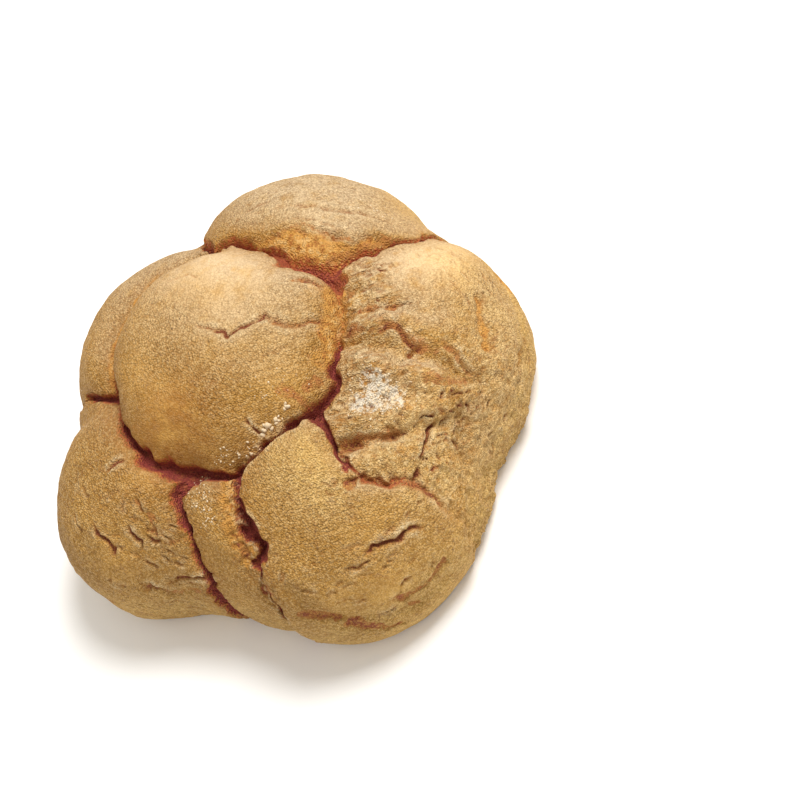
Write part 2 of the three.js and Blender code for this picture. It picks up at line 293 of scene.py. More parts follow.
print("unevenness at the crown:", round(float(uneven(place[ACROSS // 2, ACROSS // 2], 5.2, 1)), 2))

# %% [markdown]
# ## Torn edges
# A torn edge wanders in large jags with small ones on them. It could be drawn point by point. Here
# each place on the crust gets a jagged twin instead, and an edge that is a clean line among the twins
# comes out torn. All the slits, steps and cracks share the same jags, so they fit each other.

# %% A jagged twin for every place
def jagged(seed):
    """A shift in millimetres, with a part for each size of jag."""
    wander = 0.9 * uneven(place, 5.2, seed) + 0.95 * uneven(place, 2.3, seed + 1)
    return wander + 0.36 * uneven(place, 1.2, seed + 2) + 0.12 * uneven(place, 0.65, seed + 3)


jag_across, jag_along = jagged(1), jagged(5)
run_here = np.where(station < 0, BOSS_RUN, PETAL_RUN)
rough_angle = angle + np.degrees(jag_across / np.maximum(radius, 1.5))
rough_station = station + jag_along / run_here
# The rim tears in larger pieces than the grooves, so its finest jags are taken out again.
rim_jag = jag_along - 0.26 * uneven(place, 1.2, 7) - 0.1 * uneven(place, 0.65, 8)
rough_rim = radius + rim_jag - rim_at(rough_angle)
round_way = np.stack([-np.sin(radians), np.cos(radians), radians * 0], -1)
down_way = np.stack([upward * np.cos(radians), upward * np.sin(radians), -outward], -1)
rough_place = place + jag_across[..., None] * round_way + jag_along[..., None] * down_way
print("jag of the torn edges, mm:", round(float(np.abs(jag_across).max()), 2))

# %% [markdown]
# ## Petals, boss and grooves as height over the dome
# Each groove is two shapes at once: wide round shoulders, where the crust bends down, and a narrow
# slit, where it tore as it rose. The slit uses the jagged place, so its lips are torn. The moat round
# the boss is made in the same way.

# %% Shoulders and slits between the petals
SHOULDER_WIDTH = 4.2
SLIT_FLOOR = 1.12  # half width of a slit's flat floor, against its gape
OPEN_TO, LIPS_TO, MOAT_LIPS_TO = 1.6, 2.9, 3.2  # where the open floor and its torn lips end, against the gape
FULLY_OPEN = 1.6  # depth in millimetres


def open_and_lipped(distance, gape, depth, lips_to):
    """Two masks: the open floor of a slit, and the floor with its torn lips."""
    deep_enough = np.clip(depth / FULLY_OPEN, 0, 1)
    return [np.clip(to - distance / gape, 0, 1) * deep_enough for to in (OPEN_TO, lips_to)]


from_rim = radius - rim_at(angle)
on_petals = step(rough_rim, 0, 0.3)
names = list(PETALS)
crown, moat, weight = 0, 0, 0
shoulder_cut, slit_cut = np.zeros_like(radius), np.zeros_like(radius)
nearest_slit, opened = np.full_like(radius, 99.0), np.zeros_like(radius)
lipped = np.zeros_like(radius)
share_of = {}
below_rim, rough_below_rim = np.maximum(station, 0), np.maximum(rough_station, 0)
for i, name in enumerate(names):
    groove, after = GROOVES[name], names[(i + 1) % len(names)]
    here = turn(angle - groove_at(name, below_rim)) * np.pi / 180 * radius
    torn_here = turn(rough_angle - groove_at(name, rough_below_rim)) * np.pi / 180 * radius
    torn_next = turn(groove_at(after, rough_below_rim) - rough_angle) * np.pi / 180 * radius
    share_of[name] = step(np.minimum(torn_here, torn_next), 0, 0.3)
    crown = crown + share_of[name] * PETALS[name]["crown"]
    moat = moat + share_of[name] * PETALS[name]["moat"]
    weight = weight + share_of[name]
    inside = np.minimum(from_rim, 0) * 2
    fade = 1 + (groove["left"] - 1) * np.sqrt(below_rim)
    shoulder = groove["shoulder"] * bell(np.hypot(here, inside), SHOULDER_WIDTH, 1.4) * fade
    shoulder_cut = np.maximum(shoulder_cut, shoulder)
    gape = groove_at(name, below_rim, "gape") * (1 + 0.3 * uneven(place, 3.4, 20 + i))
    slit, across_slit = groove_at(name, below_rim, "slit"), np.hypot(torn_here, inside)
    slit_cut = np.maximum(slit_cut, slit * bell(across_slit, SLIT_FLOOR * gape, 5))
    open_floor, with_lips = open_and_lipped(across_slit, gape, slit, LIPS_TO)
    opened, lipped = np.maximum(opened, open_floor), np.maximum(lipped, with_lips)
    nearest_slit = np.minimum(nearest_slit, across_slit + 3 * (1 - fade))
for name in names:
    share_of[name] = share_of[name] / weight * on_petals
print("open floor of the grooves, share of the sheet:", round(float(opened.mean()), 3))

# %% The boss, its foot and the moat
BOSS_RISE, BOSS_FALL = 4.6, 0.75
FOOT_DROP, FOOT_WIDTH = 3.4, 4.5
inner = np.clip(1 - radius / rim_at(angle), 0, 1)
relief = crown / weight * on_petals
relief += (1 - on_petals) * BOSS_RISE * (1 - BOSS_FALL * (1 - inner) ** 2)
# The foot of the boss is steeper on the side of the left petal and the wedge.
STEEP_AT, STEEP_SPREAD = 212, 55
steep_side = bell(turn(angle - STEEP_AT), STEEP_SPREAD, 2)
relief -= (1 - on_petals) * (FOOT_DROP + 1.4 * steep_side) * bell(from_rim, FOOT_WIDTH + 2.5 * steep_side, 1.5)
moat_shoulder = moat / weight * bell(from_rim, 3.6, 1.5) * on_petals
moat_angles, *moat_rows = zip(*MOAT)
moat_deep, moat_gape, moat_out = (np.interp(angle, moat_angles, row, period=360) for row in moat_rows)
moat_gape = moat_gape * (1 + 0.3 * uneven(place, 3.4, 30))
across_moat = np.abs(rough_rim - moat_out)
moat_slit = moat_deep * bell(across_moat, SLIT_FLOOR * moat_gape, 5)
open_floor, with_lips = open_and_lipped(across_moat, moat_gape, moat_deep, MOAT_LIPS_TO)
opened, lipped = np.maximum(opened, open_floor), np.maximum(lipped, with_lips)
relief -= np.maximum(moat_shoulder, shoulder_cut) + 0.35 * np.minimum(moat_shoulder, shoulder_cut)
relief -= np.maximum(moat_slit, slit_cut)
nearest_slit = np.minimum(nearest_slit, across_moat + 1.5 * np.clip(1.5 - moat_deep, 0, 1))
print("deepest slit below the dome, mm:", round(float(relief.min()), 1))

# %% [markdown]
# ## Torn flanks
# Where the crust gave way in the oven it shows its inside: rough, stringy and more orange than the
# skin. There is such a flank on the boss, a step on the ledge petal, one edge of the wedge and a thin
# line on the back petal. Each gets a mask from 0 to 1, used for its roughness now and for its colour
# later.

# %% Masks of the torn flanks
TORN_MIDDLE, TORN_SPREAD, TORN_WIDTH = -29, 24, 4.2
LEDGE_EDGE = [(-6, 0.42), (0, 0.31), (5, 0.18), (21, 0.13), (31, 0.035), (45, 0.02), (60, 0)]
FLANK_DROP, LEDGE_STEP, WEDGE_STEP = 0.9, 1.1, 0.5
trough = bell(turn(angle - TORN_MIDDLE), TORN_SPREAD, 6)
torn_side = trough * step(rough_rim + 1.2 * jag_across, -TORN_WIDTH, 0.5) * (1 - step(rough_rim, 1.2, 0.35))
relief -= FLANK_DROP * torn_side
ledge_edge = np.interp(turn(rough_angle), [a for a, _ in LEDGE_EDGE], [s for _, s in LEDGE_EDGE])
torn_ledge = share_of["ledge"] * (1 - step(rough_station + 0.03 * uneven(place, 4.0, 33), ledge_edge, 0.008))
relief -= LEDGE_STEP * torn_ledge
to_smooth = turn(groove_at("smooth", rough_below_rim) - rough_angle) * np.pi / 180 * radius
low_on_wedge = step(station + 0.04 * uneven(place, 3.0, 34), 0.42, 0.03)
torn_wedge = share_of["wedge"] * bell(to_smooth, 5.2, 4) * (1 - low_on_wedge)
relief -= WEDGE_STEP * torn_wedge
torn_back = share_of["back"] * bell(rough_rim - 1.0, 1.3, 3) * bell(turn(angle - 112), 32, 6)
torn = np.clip(torn_side + torn_ledge + torn_wedge + torn_back, 0, 1)

# Strings of dough pulled across the gap, and crumbs of crust, about a millimetre each.
pulled = np.stack([radians * radius, from_rim * 0.35, height * 0.0], -1) + 1.5 * uneven(place, 3.0, 43)[..., None]
strings = uneven(pulled, 1.5, 40)
crumbly = uneven(place, 1.7, 41) + 0.7 * uneven(place, 0.9, 42)
relief += torn * (0.3 * strings + 0.36 * crumbly)
print("torn share of the crust:", round(float(torn.mean()), 3))

# %% [markdown]
# ## Folds and cracks
# A fold is a wide soft dent; a crack is narrow, has a raised lip and fades out at both ends. Both are
# paths of a few places on the crust, each an angle and a station. Modelling each by hand would take
# hours; one function measures the distance from any path, so adding a crack is one line.

# %% Paths of the folds: places, depth and half width
FOLDS = [
    ([(-38, 0.03), (-41, 0.13), (-43, 0.22), (-44, 0.36), (-46, 0.59)], 1.9, 1.9),
    ([(-51, 0.04), (-47, 0.12), (-50, 0.22), (-49, 0.38)], -1.3, 2.2),
    ([(-30, 0.08), (-35, 0.22), (-37, 0.38)], -0.9, 2.8),
    ([(-27, 0.04), (-26, 0.13), (-28, 0.18)], 1.2, 1.6),
    ([(-80, 0.14), (-76, 0.18), (-70, 0.26), (-62, 0.39), (-58, 0.49)], 1.5, 1.7),
    ([(-75, 0.08), (-67, 0.16), (-60, 0.3), (-55, 0.44)], -1.2, 2.4),
    ([(-60, 0.46), (-68, 0.44), (-75, 0.46)], 0.6, 1.4),
    ([(-55, 0.56), (-60, 0.62), (-64, 0.7)], 0.7, 1.8),
    ([(-27, 0.54), (-32, 0.54), (-38, 0.57)], 0.9, 1.4),
    ([(-16, 0.82), (-22, 0.84), (-30, 0.82), (-36, 0.84)], 1.0, 1.8),
    ([(244, 0.51), (248, 0.66), (254, 0.76), (264, 0.84), (273, 0.86)], 0.9, 1.8),
]
for path, depth, width in FOLDS[:3]:
    print("fold from", path[0], "to", path[-1], "depth, mm:", depth)

# %% Paths of the cracks: places, depth and half width
ZIG_ZAG = [
    (64, -0.88), (22, -0.9), (-10, -0.88), (-20, -0.88), (-29, -0.85), (-16, -0.81), (-14, -0.75), (-16, -0.62),
    (-18, -0.57),
]
CRACKS = [
    # The zig-zag over the boss, its soft end, and hairlines.
    (ZIG_ZAG, 0.9, 0.42),
    ([(-16, -0.6), (-24, -0.5), (-31, -0.34)], 0.45, 0.6),
    ([(82, -0.4), (66, -0.46), (59, -0.51)], 0.35, 0.3),
    ([(-54, -0.6), (-49, -0.52), (-42, -0.42)], 0.35, 0.3),
    ([(259, -0.31), (260, -0.2), (262, -0.09)], 0.9, 0.4),
    ([(-29, -0.38), (-27, -0.27), (-28, -0.15)], 0.6, 0.5),
    ([(0, -0.3), (-4, -0.2), (-8, -0.1)], 0.6, 0.45),
    ([(231, -0.7), (245, -0.74), (257, -0.75)], 0.2, 0.25),
    ([(263, -0.76), (262, -0.64), (262, -0.52)], 0.2, 0.25),
    ([(275, -0.65), (283, -0.66), (290, -0.64)], 0.2, 0.25),
    # The ledge petal.
    ([(42, 0.14), (26, 0.22), (12, 0.3), (2, 0.42)], 0.4, 0.4),
    ([(30, 0.12), (18, 0.18), (8, 0.2)], 0.35, 0.35),
    ([(48, 0.1), (40, 0.2), (30, 0.3)], 0.3, 0.3),
    # The wrinkled petal: the folds, the terraces between them, the sunk strip and fine splits above it.
    ([(-34, 0.02), (-32, 0.05), (-35, 0.08)], 0.7, 0.5),
    ([(-37, 0.12), (-35, 0.17), (-36, 0.2), (-40, 0.24), (-41, 0.31)], 1.0, 0.6),
    ([(-38, 0.34), (-40, 0.37), (-41, 0.41), (-43, 0.46), (-44, 0.51), (-45, 0.57)], 0.5, 0.36),
    ([(-78, 0.15), (-75, 0.17), (-71, 0.2), (-69, 0.26), (-66, 0.32), (-63, 0.4)], 0.6, 0.6),
    ([(-80, 0.14), (-80, 0.18), (-82, 0.2), (-84, 0.25)], 0.9, 0.4),
    ([(-88, 0.26), (-86, 0.25), (-83, 0.27), (-81, 0.3), (-79, 0.35), (-78, 0.38)], 0.7, 0.55),
    ([(-79, 0.38), (-76, 0.46), (-75, 0.56), (-76, 0.68)], 0.6, 0.6),
    ([(-58, 0.46), (-60, 0.46), (-63, 0.45), (-67, 0.44), (-70, 0.44)], 1.0, 0.45),
    ([(-71, 0.44), (-74, 0.45), (-77, 0.46)], 0.8, 0.45),
    ([(-52, 0.53), (-52, 0.56), (-54, 0.6)], 0.6, 0.4),
    ([(-61, 0.56), (-62, 0.6), (-62, 0.64)], 0.6, 0.4),
    ([(-87, 0.22), (-90, 0.22), (-92, 0.2)], 0.5, 0.35),
    ([(-93, 0.24), (-91, 0.25)], 0.5, 0.35),
    ([(-22, 0.4), (-24, 0.43)], 0.4, 0.3),
    ([(-26, 0.45), (-29, 0.47)], 0.4, 0.3),
    ([(-24, 0.55), (-26, 0.59)], 0.45, 0.3),
    ([(-20, 0.41), (-21, 0.42)], 0.3, 0.28),
    ([(-10, 0.46), (-12, 0.48)], 0.4, 0.3),
    ([(-13, 0.51), (-15, 0.53)], 0.4, 0.3),
    # The smooth petal.
    ([(264, 0.49), (267, 0.49), (269, 0.51), (272, 0.52), (275, 0.54), (278, 0.61)], 1.1, 0.55),
    ([(259, 0.51), (261, 0.52), (263, 0.52), (266, 0.54)], 0.6, 0.35),
    ([(266, 0.71), (267, 0.7), (269, 0.71)], 0.6, 0.35),
    ([(262, 0.76), (264, 0.75), (265, 0.73)], 0.5, 0.35),
    ([(258, 0.8), (260, 0.8), (262, 0.8)], 0.5, 0.35),
    ([(251, 0.41), (254, 0.43)], 0.4, 0.3),
    ([(245, 0.41), (244, 0.46)], 0.4, 0.3),
    ([(250, 0.29), (249, 0.34)], 0.35, 0.3),
    ([(247, 0.51), (251, 0.54)], 0.4, 0.3),
    ([(267, 0.23), (269, 0.25)], 0.5, 0.4),
    # The left petal.
    ([(184, 0.31), (187, 0.34), (189, 0.36), (191, 0.38), (193, 0.44)], 0.9, 0.5),
    ([(195, 0.27), (197, 0.31), (200, 0.35), (201, 0.4)], 0.7, 0.45),
    ([(176, 0.36), (179, 0.37), (182, 0.39)], 0.5, 0.35),
    ([(174, 0.25), (178, 0.25)], 0.4, 0.3),
    ([(184, 0.58), (186, 0.6)], 0.5, 0.3),
    ([(192, 0.58), (193, 0.65)], 0.5, 0.35),
    ([(201, 0.31), (204, 0.34), (206, 0.33)], 0.6, 0.4),
    ([(201, 0.44), (203, 0.47), (205, 0.51)], 0.5, 0.35),
    ([(200, 0.65), (202, 0.6), (203, 0.63), (205, 0.64), (206, 0.69)], 0.7, 0.5),
    ([(206, 0.63), (210, 0.57), (213, 0.56), (218, 0.55), (222, 0.5)], 0.8, 0.5),
    ([(196, 0.15), (198, 0.2)], 0.5, 0.5),
    ([(190, 0.19), (192, 0.22)], 0.4, 0.35),
    ([(203, 0.27), (205, 0.3)], 0.5, 0.35),
    ([(178, 0.13), (178, 0.08), (180, 0.05)], 0.6, 0.35),
    ([(202, 0.74), (209, 0.77)], 0.4, 0.4),
    ([(166, 0.25), (174, 0.28)], 0.3, 0.28),
]
print("cracks:", len(CRACKS), "widest, mm:", max(2 * width for _, _, width in CRACKS))

# %% [markdown]
# ## Sunk spots
# In a few places a chip of skin came away and left a shallow brown or golden spot. A spot is a path as
# well, but wide, flat-bottomed and with a ragged edge.

# %% Paths of the sunk spots: places, depth and half width
SUNK_STRIP = [(333, 0.54), (328, 0.54), (322, 0.57)]
RIM_CHIP, LOW_CHIP = [(349, 0.78), (345, 0.84), (341, 0.87)], [(326, 0.83), (322, 0.79)]
SPOTS = [
    # A row of chips low on the smooth petal, and its edges by the grooves.
    ([(244, 0.64), (251, 0.73)], 0.5, 1.1), ([(252, 0.77), (257, 0.85)], 0.6, 1.3),
    ([(257, 0.87), (260, 0.88)], 0.5, 0.8), ([(264, 0.78), (269, 0.81)], 0.5, 1.1),
    ([(271, 0.8), (275, 0.78)], 0.5, 1.1), ([(264, 0.84), (266, 0.86)], 0.4, 0.7),
    ([(272, 0.26), (275, 0.26)], 0.6, 0.9), ([(277, 0.28), (280, 0.32), (282, 0.38)], 0.35, 1.1),
    # Beside the boss, and the top of the wedge.
    ([(288, -0.3), (289, -0.12)], 0.35, 1.7), ([(304, -0.15), (296, -0.19)], 0.4, 1.0),
    ([(236, 0.18), (237, 0.22)], 0.6, 1.0),
    # Pits, folds and rim of the wrinkled petal.
    ([(334, 0.07), (334, 0.12)], 0.4, 0.9), ([(332, 0.16), (332, 0.18)], 0.5, 0.7),
    ([(328, 0.02), (327, 0.07)], 0.25, 1.2), ([(325, 0.14), (324, 0.19), (321, 0.25), (319, 0.32)], 0.25, 1.6),
    ([(318, 0.24), (318.5, 0.25)], 1.1, 0.8), ([(321, 0.35), (319, 0.4), (317, 0.45), (315, 0.54)], 0.25, 0.8),
    ([(310, 0.32), (311, 0.41), (313, 0.51)], 0.3, 1.0), (SUNK_STRIP, 0.3, 1.2),
    (RIM_CHIP, 0.5, 0.8), ([(339, 0.88), (338, 0.9)], 0.8, 0.9),
    (LOW_CHIP, 0.7, 0.9),
    # The left petal, and more on the wrinkled petal and the wedge.
    ([(195, 0.15), (198, 0.19)], 0.3, 0.7), ([(201, 0.21), (203, 0.27)], 0.35, 0.8),
    ([(283, 0.15), (285, 0.18)], 0.7, 1.2), ([(281, 0.16), (285, 0.17), (290, 0.22), (294, 0.31)], 0.3, 1.5),
    ([(238, 0.52), (236, 0.56)], 0.6, 1.3), ([(235, 0.3), (236, 0.37)], 0.45, 0.9),
    # The ledge petal, the boss, and the foot of the left petal.
    ([(5, 0.19), (21, 0.14), (31, 0.05)], 0.2, 0.6), ([(342, 0.02), (343, 0.05)], 0.3, 0.6),
    ([(16, 0.15), (4, 0.19)], 0.3, 0.7), ([(4, 0.05), (2, 0.13), (0, 0.22), (-1, 0.32)], 0.3, 1.1),
    ([(32, 0.02), (20, 0.02), (10, 0.03)], 0.2, 0.9), ([(-12, -0.66), (-22, -0.6), (-28, -0.4)], 0.15, 0.6),
    ([(331, -0.38), (333, -0.27), (332, -0.15)], 0.2, 0.6), ([(0, -0.3), (-4, -0.2), (-8, -0.1)], 0.2, 0.5),
    ([(215, 0.3), (209, 0.35)], 0.2, 0.7), ([(207, 0.68), (214, 0.66)], 0.25, 0.9),
    ([(190, 0.8), (185, 0.84)], 0.2, 0.7),
]
print("spots:", len(SPOTS))

# %% Distance from a path
def along_path(path, points, reach=7.0):
    """Distance in mm from a path of places on the crust, and how far along it the nearest place lies."""
    turns, stations = (np.array([knot[k] for knot in path], float) for k in (0, 1))
    out_to, up_to, _, _ = dome_at(turns, stations)
    knots = np.stack([out_to * np.cos(np.radians(turns)), out_to * np.sin(np.radians(turns)), up_to], -1)
    nearest, share = np.full(points.shape[:2], 99.0), np.zeros(points.shape[:2])
    close = np.all((points > knots.min(0) - reach) & (points < knots.max(0) + reach), axis=-1)
    spots, best, along = points[close], nearest[close], share[close]
    for k in range(len(knots) - 1):
        way = knots[k + 1] - knots[k]
        t = np.clip((spots - knots[k]) @ way / (way @ way + 1e-9), 0, 1)
        distance = np.linalg.norm(spots - knots[k] - t[:, None] * way, axis=-1)
        along = np.where(distance < best, (k + t) / (len(knots) - 1), along)
        best = np.minimum(distance, best)
    nearest[close], share[close] = best, along
    return nearest, share


from_zig_zag, _ = along_path(ZIG_ZAG, place)
print("points of the sheet within 1 mm of the zig-zag:", int((from_zig_zag < 1).sum()))

# %% [markdown]
# ## Little splits
# Between the named cracks the skin is crazed with splits a few millimetres long. On each part of a
# petal they run one way, because the skin was stretched that way. Placing a couple of hundred by hand
# adds nothing, so a seeded random draw scatters them.

# %% Short splits at random
# Where they lie, from and to in angle and in station, how many, which way they run, right and up for
# the camera, and how deep they are against the plain ones.
LITTLE_SPLITS = [
    ((182, 212), (0.16, 0.45), 28, (0.75, -0.66), 1), ((190, 222), (0.45, 0.85), 22, (0.98, -0.15), 1),
    ((244, 262), (0.35, 0.8), 16, (0.95, 0.3), 1), ((262, 285), (0.25, 0.8), 20, (0.85, 0.5), 1),
    ((288, 312), (0.1, 0.6), 60, (0.97, 0.15), 1.6), ((300, 322), (0.45, 0.85), 26, (0.5, 0.85), 1.2),
    ((324, 345), (0.3, 0.7), 9, (0.6, -0.8), 1), ((324, 352), (0.03, 0.2), 26, (0.98, -0.1), 1.4),
    ((20, 130), (0.2, 0.8), 22, (0.9, 0.4), 1),
]
# The camera's right and up, laid along the roll.
PLAN_RIGHT, PLAN_UP = np.array([0.72, -0.6, -0.36]), np.array([0.69, 0.62, 0.37])


def little_split(rng, angles, stations, way, deeper):
    """A short crooked path at a random place, running roughly one way."""
    knot = np.array([rng.uniform(*angles), rng.uniform(*stations)])
    out_to, _, outward_here, upward_here = (float(v) for v in dome_at(*knot))
    a = math.radians(knot[0])
    to_round = np.array([-math.sin(a), math.cos(a), 0])
    to_down = np.array([upward_here * math.cos(a), upward_here * math.sin(a), -outward_here])
    path = [tuple(knot)]
    for _ in range(rng.integers(1, 4)):
        stray = rng.normal(0, 0.35)
        right_part = way[0] * math.cos(stray) - way[1] * math.sin(stray)
        up_part = way[0] * math.sin(stray) + way[1] * math.cos(stray)
        run = (right_part * PLAN_RIGHT + up_part * PLAN_UP) * rng.uniform(0.7, 1.6)
        knot = knot + [math.degrees(run @ to_round / out_to), run @ to_down / PETAL_RUN]
        path.append(tuple(knot))
    return path, deeper * rng.uniform(0.2, 0.5), rng.uniform(0.25, 0.36)


split_rng = np.random.default_rng(11)
little = [
    little_split(split_rng, angles, stations, way, deeper)
    for angles, stations, how_many, way, deeper in LITTLE_SPLITS
    for _ in range(how_many)
]
print("little splits:", len(little))

# %% Cut the folds and cracks
LIP_RISE = 0.2
for path, depth, width in FOLDS:
    distance, _ = along_path(path, place)
    relief -= depth * bell(distance, width)
fine_jag = np.stack([uneven(place, 1.0, 54), uneven(place, 1.0, 55), uneven(place, 1.0, 56)], -1)
ragged_place = 0.55 * place + 0.45 * rough_place + 0.35 * fine_jag
split, raised = np.zeros_like(radius), np.zeros_like(radius)
thick_and_thin, lip_here = uneven(place, 1.6, 50), 0.6 + uneven(place, 2.2, 51)
for path, depth, width in CRACKS + little:
    distance, share = along_path(path, ragged_place, 4.0)
    fade = np.clip(5 * share * (1 - share), 0, 1) ** 0.6
    ragged = 0.95 * width * (1 + 0.5 * thick_and_thin)
    split = np.maximum(split, fade * depth * bell(distance, ragged, 2.2))
    lip = fade * depth * bell(distance - 2.0 * width, 1.1 * width) * lip_here
    relief += LIP_RISE * lip
    raised = np.maximum(raised, lip)
relief -= split
print("deepest crack, mm:", round(float(split.max()), 2))

# %% Sink the spots
spotted, spot_edge = np.zeros_like(radius), uneven(place, 1.8, 52) + 0.7 * uneven(place, 0.8, 53)
for path, depth, width in SPOTS:
    distance, _ = along_path(path, 0.5 * place + 0.5 * rough_place)
    spot_shape = bell(distance, width * (1.05 + 0.55 * spot_edge), 5)
    relief -= depth * spot_shape
    spotted = np.maximum(spotted, spot_shape * min(1, 0.4 + depth))
relief += 0.22 * spotted * crumbly
print("spotted share of the crust:", round(float((spotted > 0.5).mean()), 3))

# %% [markdown]
# ## Crinkles and grain
# The wrinkled petal is crumpled in fine pleats that run out from the boss. The skin elsewhere is
# granular, like coarse sandpaper. Grains under a millimetre go into the material, where they cost
# nothing; what is larger is height in the mesh, because it shows in the outline and in the shadows.

# %% Where the wrinkled petal is creased
wrinkled = share_of["wrinkled"]
on_wrinkled = wrinkled * (1 - 0.65 * step(turn(angle - 340), 0, 4) * step(station, 0.3, 0.06))
by_the_boss = wrinkled * (1 - step(station, 0.17, 0.03))
creased_low = wrinkled * step(station, 0.2, 0.04) * (1 - step(turn(angle + 38), 0, 4))
calm_top = wrinkled * step(turn(angle + 36), 0, 3) * step(station, 0.19, 0.03)
print("creased share of the crust:", round(float(on_wrinkled.mean()), 3))

# %% Pleats, crumple and knobs
out_and_round = np.stack([radians * radius, station * run_here * 0.3, radius * 0.0], -1)
pleats = 1 - 2 * np.abs(uneven(out_and_round + 2.2 * uneven(place, 4.0, 60)[..., None], 2.6, 61))
crumple = 0.6 - 2 * np.abs(uneven(place + 1.5 * uneven(place, 6.0, 68)[..., None], 3.4, 62))
crumple += 0.5 * (0.6 - 2 * np.abs(uneven(place, 1.6, 69)))
knobbly = 0.5 - np.abs(uneven(place, 1.9, 71)) * 2 + 0.6 * (0.5 - 2 * np.abs(uneven(place, 1.1, 72)))
creases = 0.08 * pleats + 0.3 * crumple + 0.1 * knobbly
relief += on_wrinkled * (1 - 0.8 * calm_top) * creases + 0.3 * by_the_boss * pleats
print("crumple, mm:", round(0.3 * float(np.ptp(crumple)), 2))

# %% Flakes of torn skin and the unevenness of the whole crust
torn_skin = flakes(place + 0.8 * fine_jag + 1.2 * uneven(place, 4.0, 73)[..., None], 2.9, 74)
relief += 0.2 * creased_low * knobbly
relief += torn_skin * (0.5 * by_the_boss + 0.42 * creased_low + 0.16 * share_of["left"] * step(station, 0.2, 0.05))
relief += 0.16 * torn_skin * (1 - on_petals) * step(turn(angle - 270), 0, 6) * step(5.5 + from_rim, 0, 1)
relief += 0.16 * uneven(place, 8.0, 63) + 0.1 * uneven(place, 3.2, 64) + 0.07 * uneven(place, 1.5, 65)
near_slit = bell(nearest_slit, 2.6, 1.6)
relief += near_slit * (0.14 * uneven(place, 1.4, 66) + 0.1 * uneven(place, 0.8, 67))
print("flakes, from", round(float(torn_skin.min()), 2), "to", round(float(torn_skin.max()), 2))

# %% Crumbs along the torn lips
# Angle and share of crumbs: most on the petals below the boss and on the foot of the boss.
CRUMBS_AT = [(0, 0.3), (150, 0.2), (205, 0.25), (222, 0.6), (240, 1), (300, 1), (325, 0.7), (345, 0.3), (360, 0.3)]
CRUMB_RISE, CRUMB_APART = 0.5, 1.15
crumbs_here = np.interp(angle % 360, *zip(*CRUMBS_AT))
lips = crumbs_here * lipped * (1 - opened)
top_of_wedge = 0.6 * share_of["wedge"] * bell(station - 0.08, 0.12, 4)
lips = np.maximum(lips, top_of_wedge) * step(uneven(place, 4.5, 76), -0.2, 0.12)
grit = granules(place + 0.4 * fine_jag, CRUMB_APART, 75)
relief += lips * (CRUMB_RISE * grit - 0.15)
print("share of the crust with crumbs:", round(float((lips > 0.3).mean()), 3))

# %% The finished crust
SETTLE_BELOW = 6  # from this height down, in millimetres, the relief lifts the crust less and less
cut_edge = ring > 1 - 1e-9
settle = np.clip(height / SETTLE_BELOW, 0, 1)
lift = relief + soft_lump(place)
crust_radius = np.maximum(radius + lift * outward, 0)
crust_height = np.maximum(height + lift * upward * settle, 0)
crust_height[cut_edge] = 0
crust = np.stack([crust_radius * np.cos(radians), crust_radius * np.sin(radians), crust_height], -1)
print("height of the crust, mm:", round(float(crust_height.max()), 1))

# %% [markdown]
# ## The cut face
# The knife leaves a flat face of open crumb. Its holes are gas bubbles of all sizes, most under a
# millimetre and a few of five, pulled long towards the crust. They are dents in a second sheet with
# the same edge as the first, so that the two close into one body.

# %% The flat sheet inside the cut edge
rim_angle = angle[cut_edge] % 360
order = np.argsort(rim_angle)
rim_reach = np.interp(angle % 360, rim_angle[order], crust_radius[cut_edge][order], period=360)
flat_radius = ring * rim_reach
flat = np.stack([flat_radius * np.cos(radians), flat_radius * np.sin(radians), np.zeros_like(radius)], -1)
from_edge = rim_reach * (1 - ring)
print("the cut face reaches, mm:", round(float(rim_reach.min()), 1), "to", round(float(rim_reach.max()), 1))

# %% Bubbles in the cut face
BUBBLES, BUBBLES_WITHIN = 420, 47
SMALLEST, LARGER_BY, BUBBLE_DEPTH = 0.35, 2.3, 0.85
rng = np.random.default_rng(41)
bubble = np.zeros_like(radius)
for _ in range(BUBBLES):
    size = SMALLEST + LARGER_BY * rng.random() ** 5
    middle_at, middle_out = math.radians(rng.random() * 360), BUBBLES_WITHIN * math.sqrt(rng.random())
    dx, dy = flat[..., 0] - middle_out * math.cos(middle_at), flat[..., 1] - middle_out * math.sin(middle_at)
    long_way, stretch = rng.random() * math.pi, 1 + 1.1 * rng.random()
    along = (dx * math.cos(long_way) + dy * math.sin(long_way)) / stretch
    across = -dx * math.sin(long_way) + dy * math.cos(long_way)
    ball = 1 - (along**2 + across**2) / size**2
    bubble = np.maximum(bubble, np.sqrt(np.maximum(ball, 0)) * size * BUBBLE_DEPTH)
bubble *= step(from_edge, 1.8, 0.3)
ragged_cut = 0.12 + 0.12 * uneven(flat, 1.1, 70) + 0.1 * uneven(flat, 2.6, 71)
flat[..., 2] = (bubble + np.clip(ragged_cut, 0, 1) * step(from_edge, 1.0, 0.3)) * ~cut_edge
print("deepest bubble, mm:", round(float(flat[..., 2].max()), 2))

# %% [markdown]
# ## Where each colour lies
# Each colour of the crust gets a mask, a number from 0 to 1 at every point. One could paint them by
# hand. Most follow from the form instead: burnt in the slits, darker as painted shade on the side away
# from the lamp; browner beside them, with painted shade on the lower left; pale dust and painted
# highlight on what faces the lamp; painted bounce light along the foot. Patches that the form doesn't
# explain lie along short paths, like the spots.

# %% Helpers for the masks
def spread(field, passes):
    """The field with its fine detail averaged away."""
    for _ in range(passes):
        padded = np.pad(field, 1, mode="edge")
        field = (padded[:-2, 1:-1] + padded[2:, 1:-1] + padded[1:-1, :-2] + padded[1:-1, 2:] + 4 * field) / 8
    return field


def patches(rows):
    """Soft patches along paths, each with a width in millimetres and a share."""
    patched = np.zeros_like(radius)
    for path, width, share in rows:
        patched = np.maximum(patched, share * bell(along_path(path, place, 20)[0], width, 2.5))
    return patched


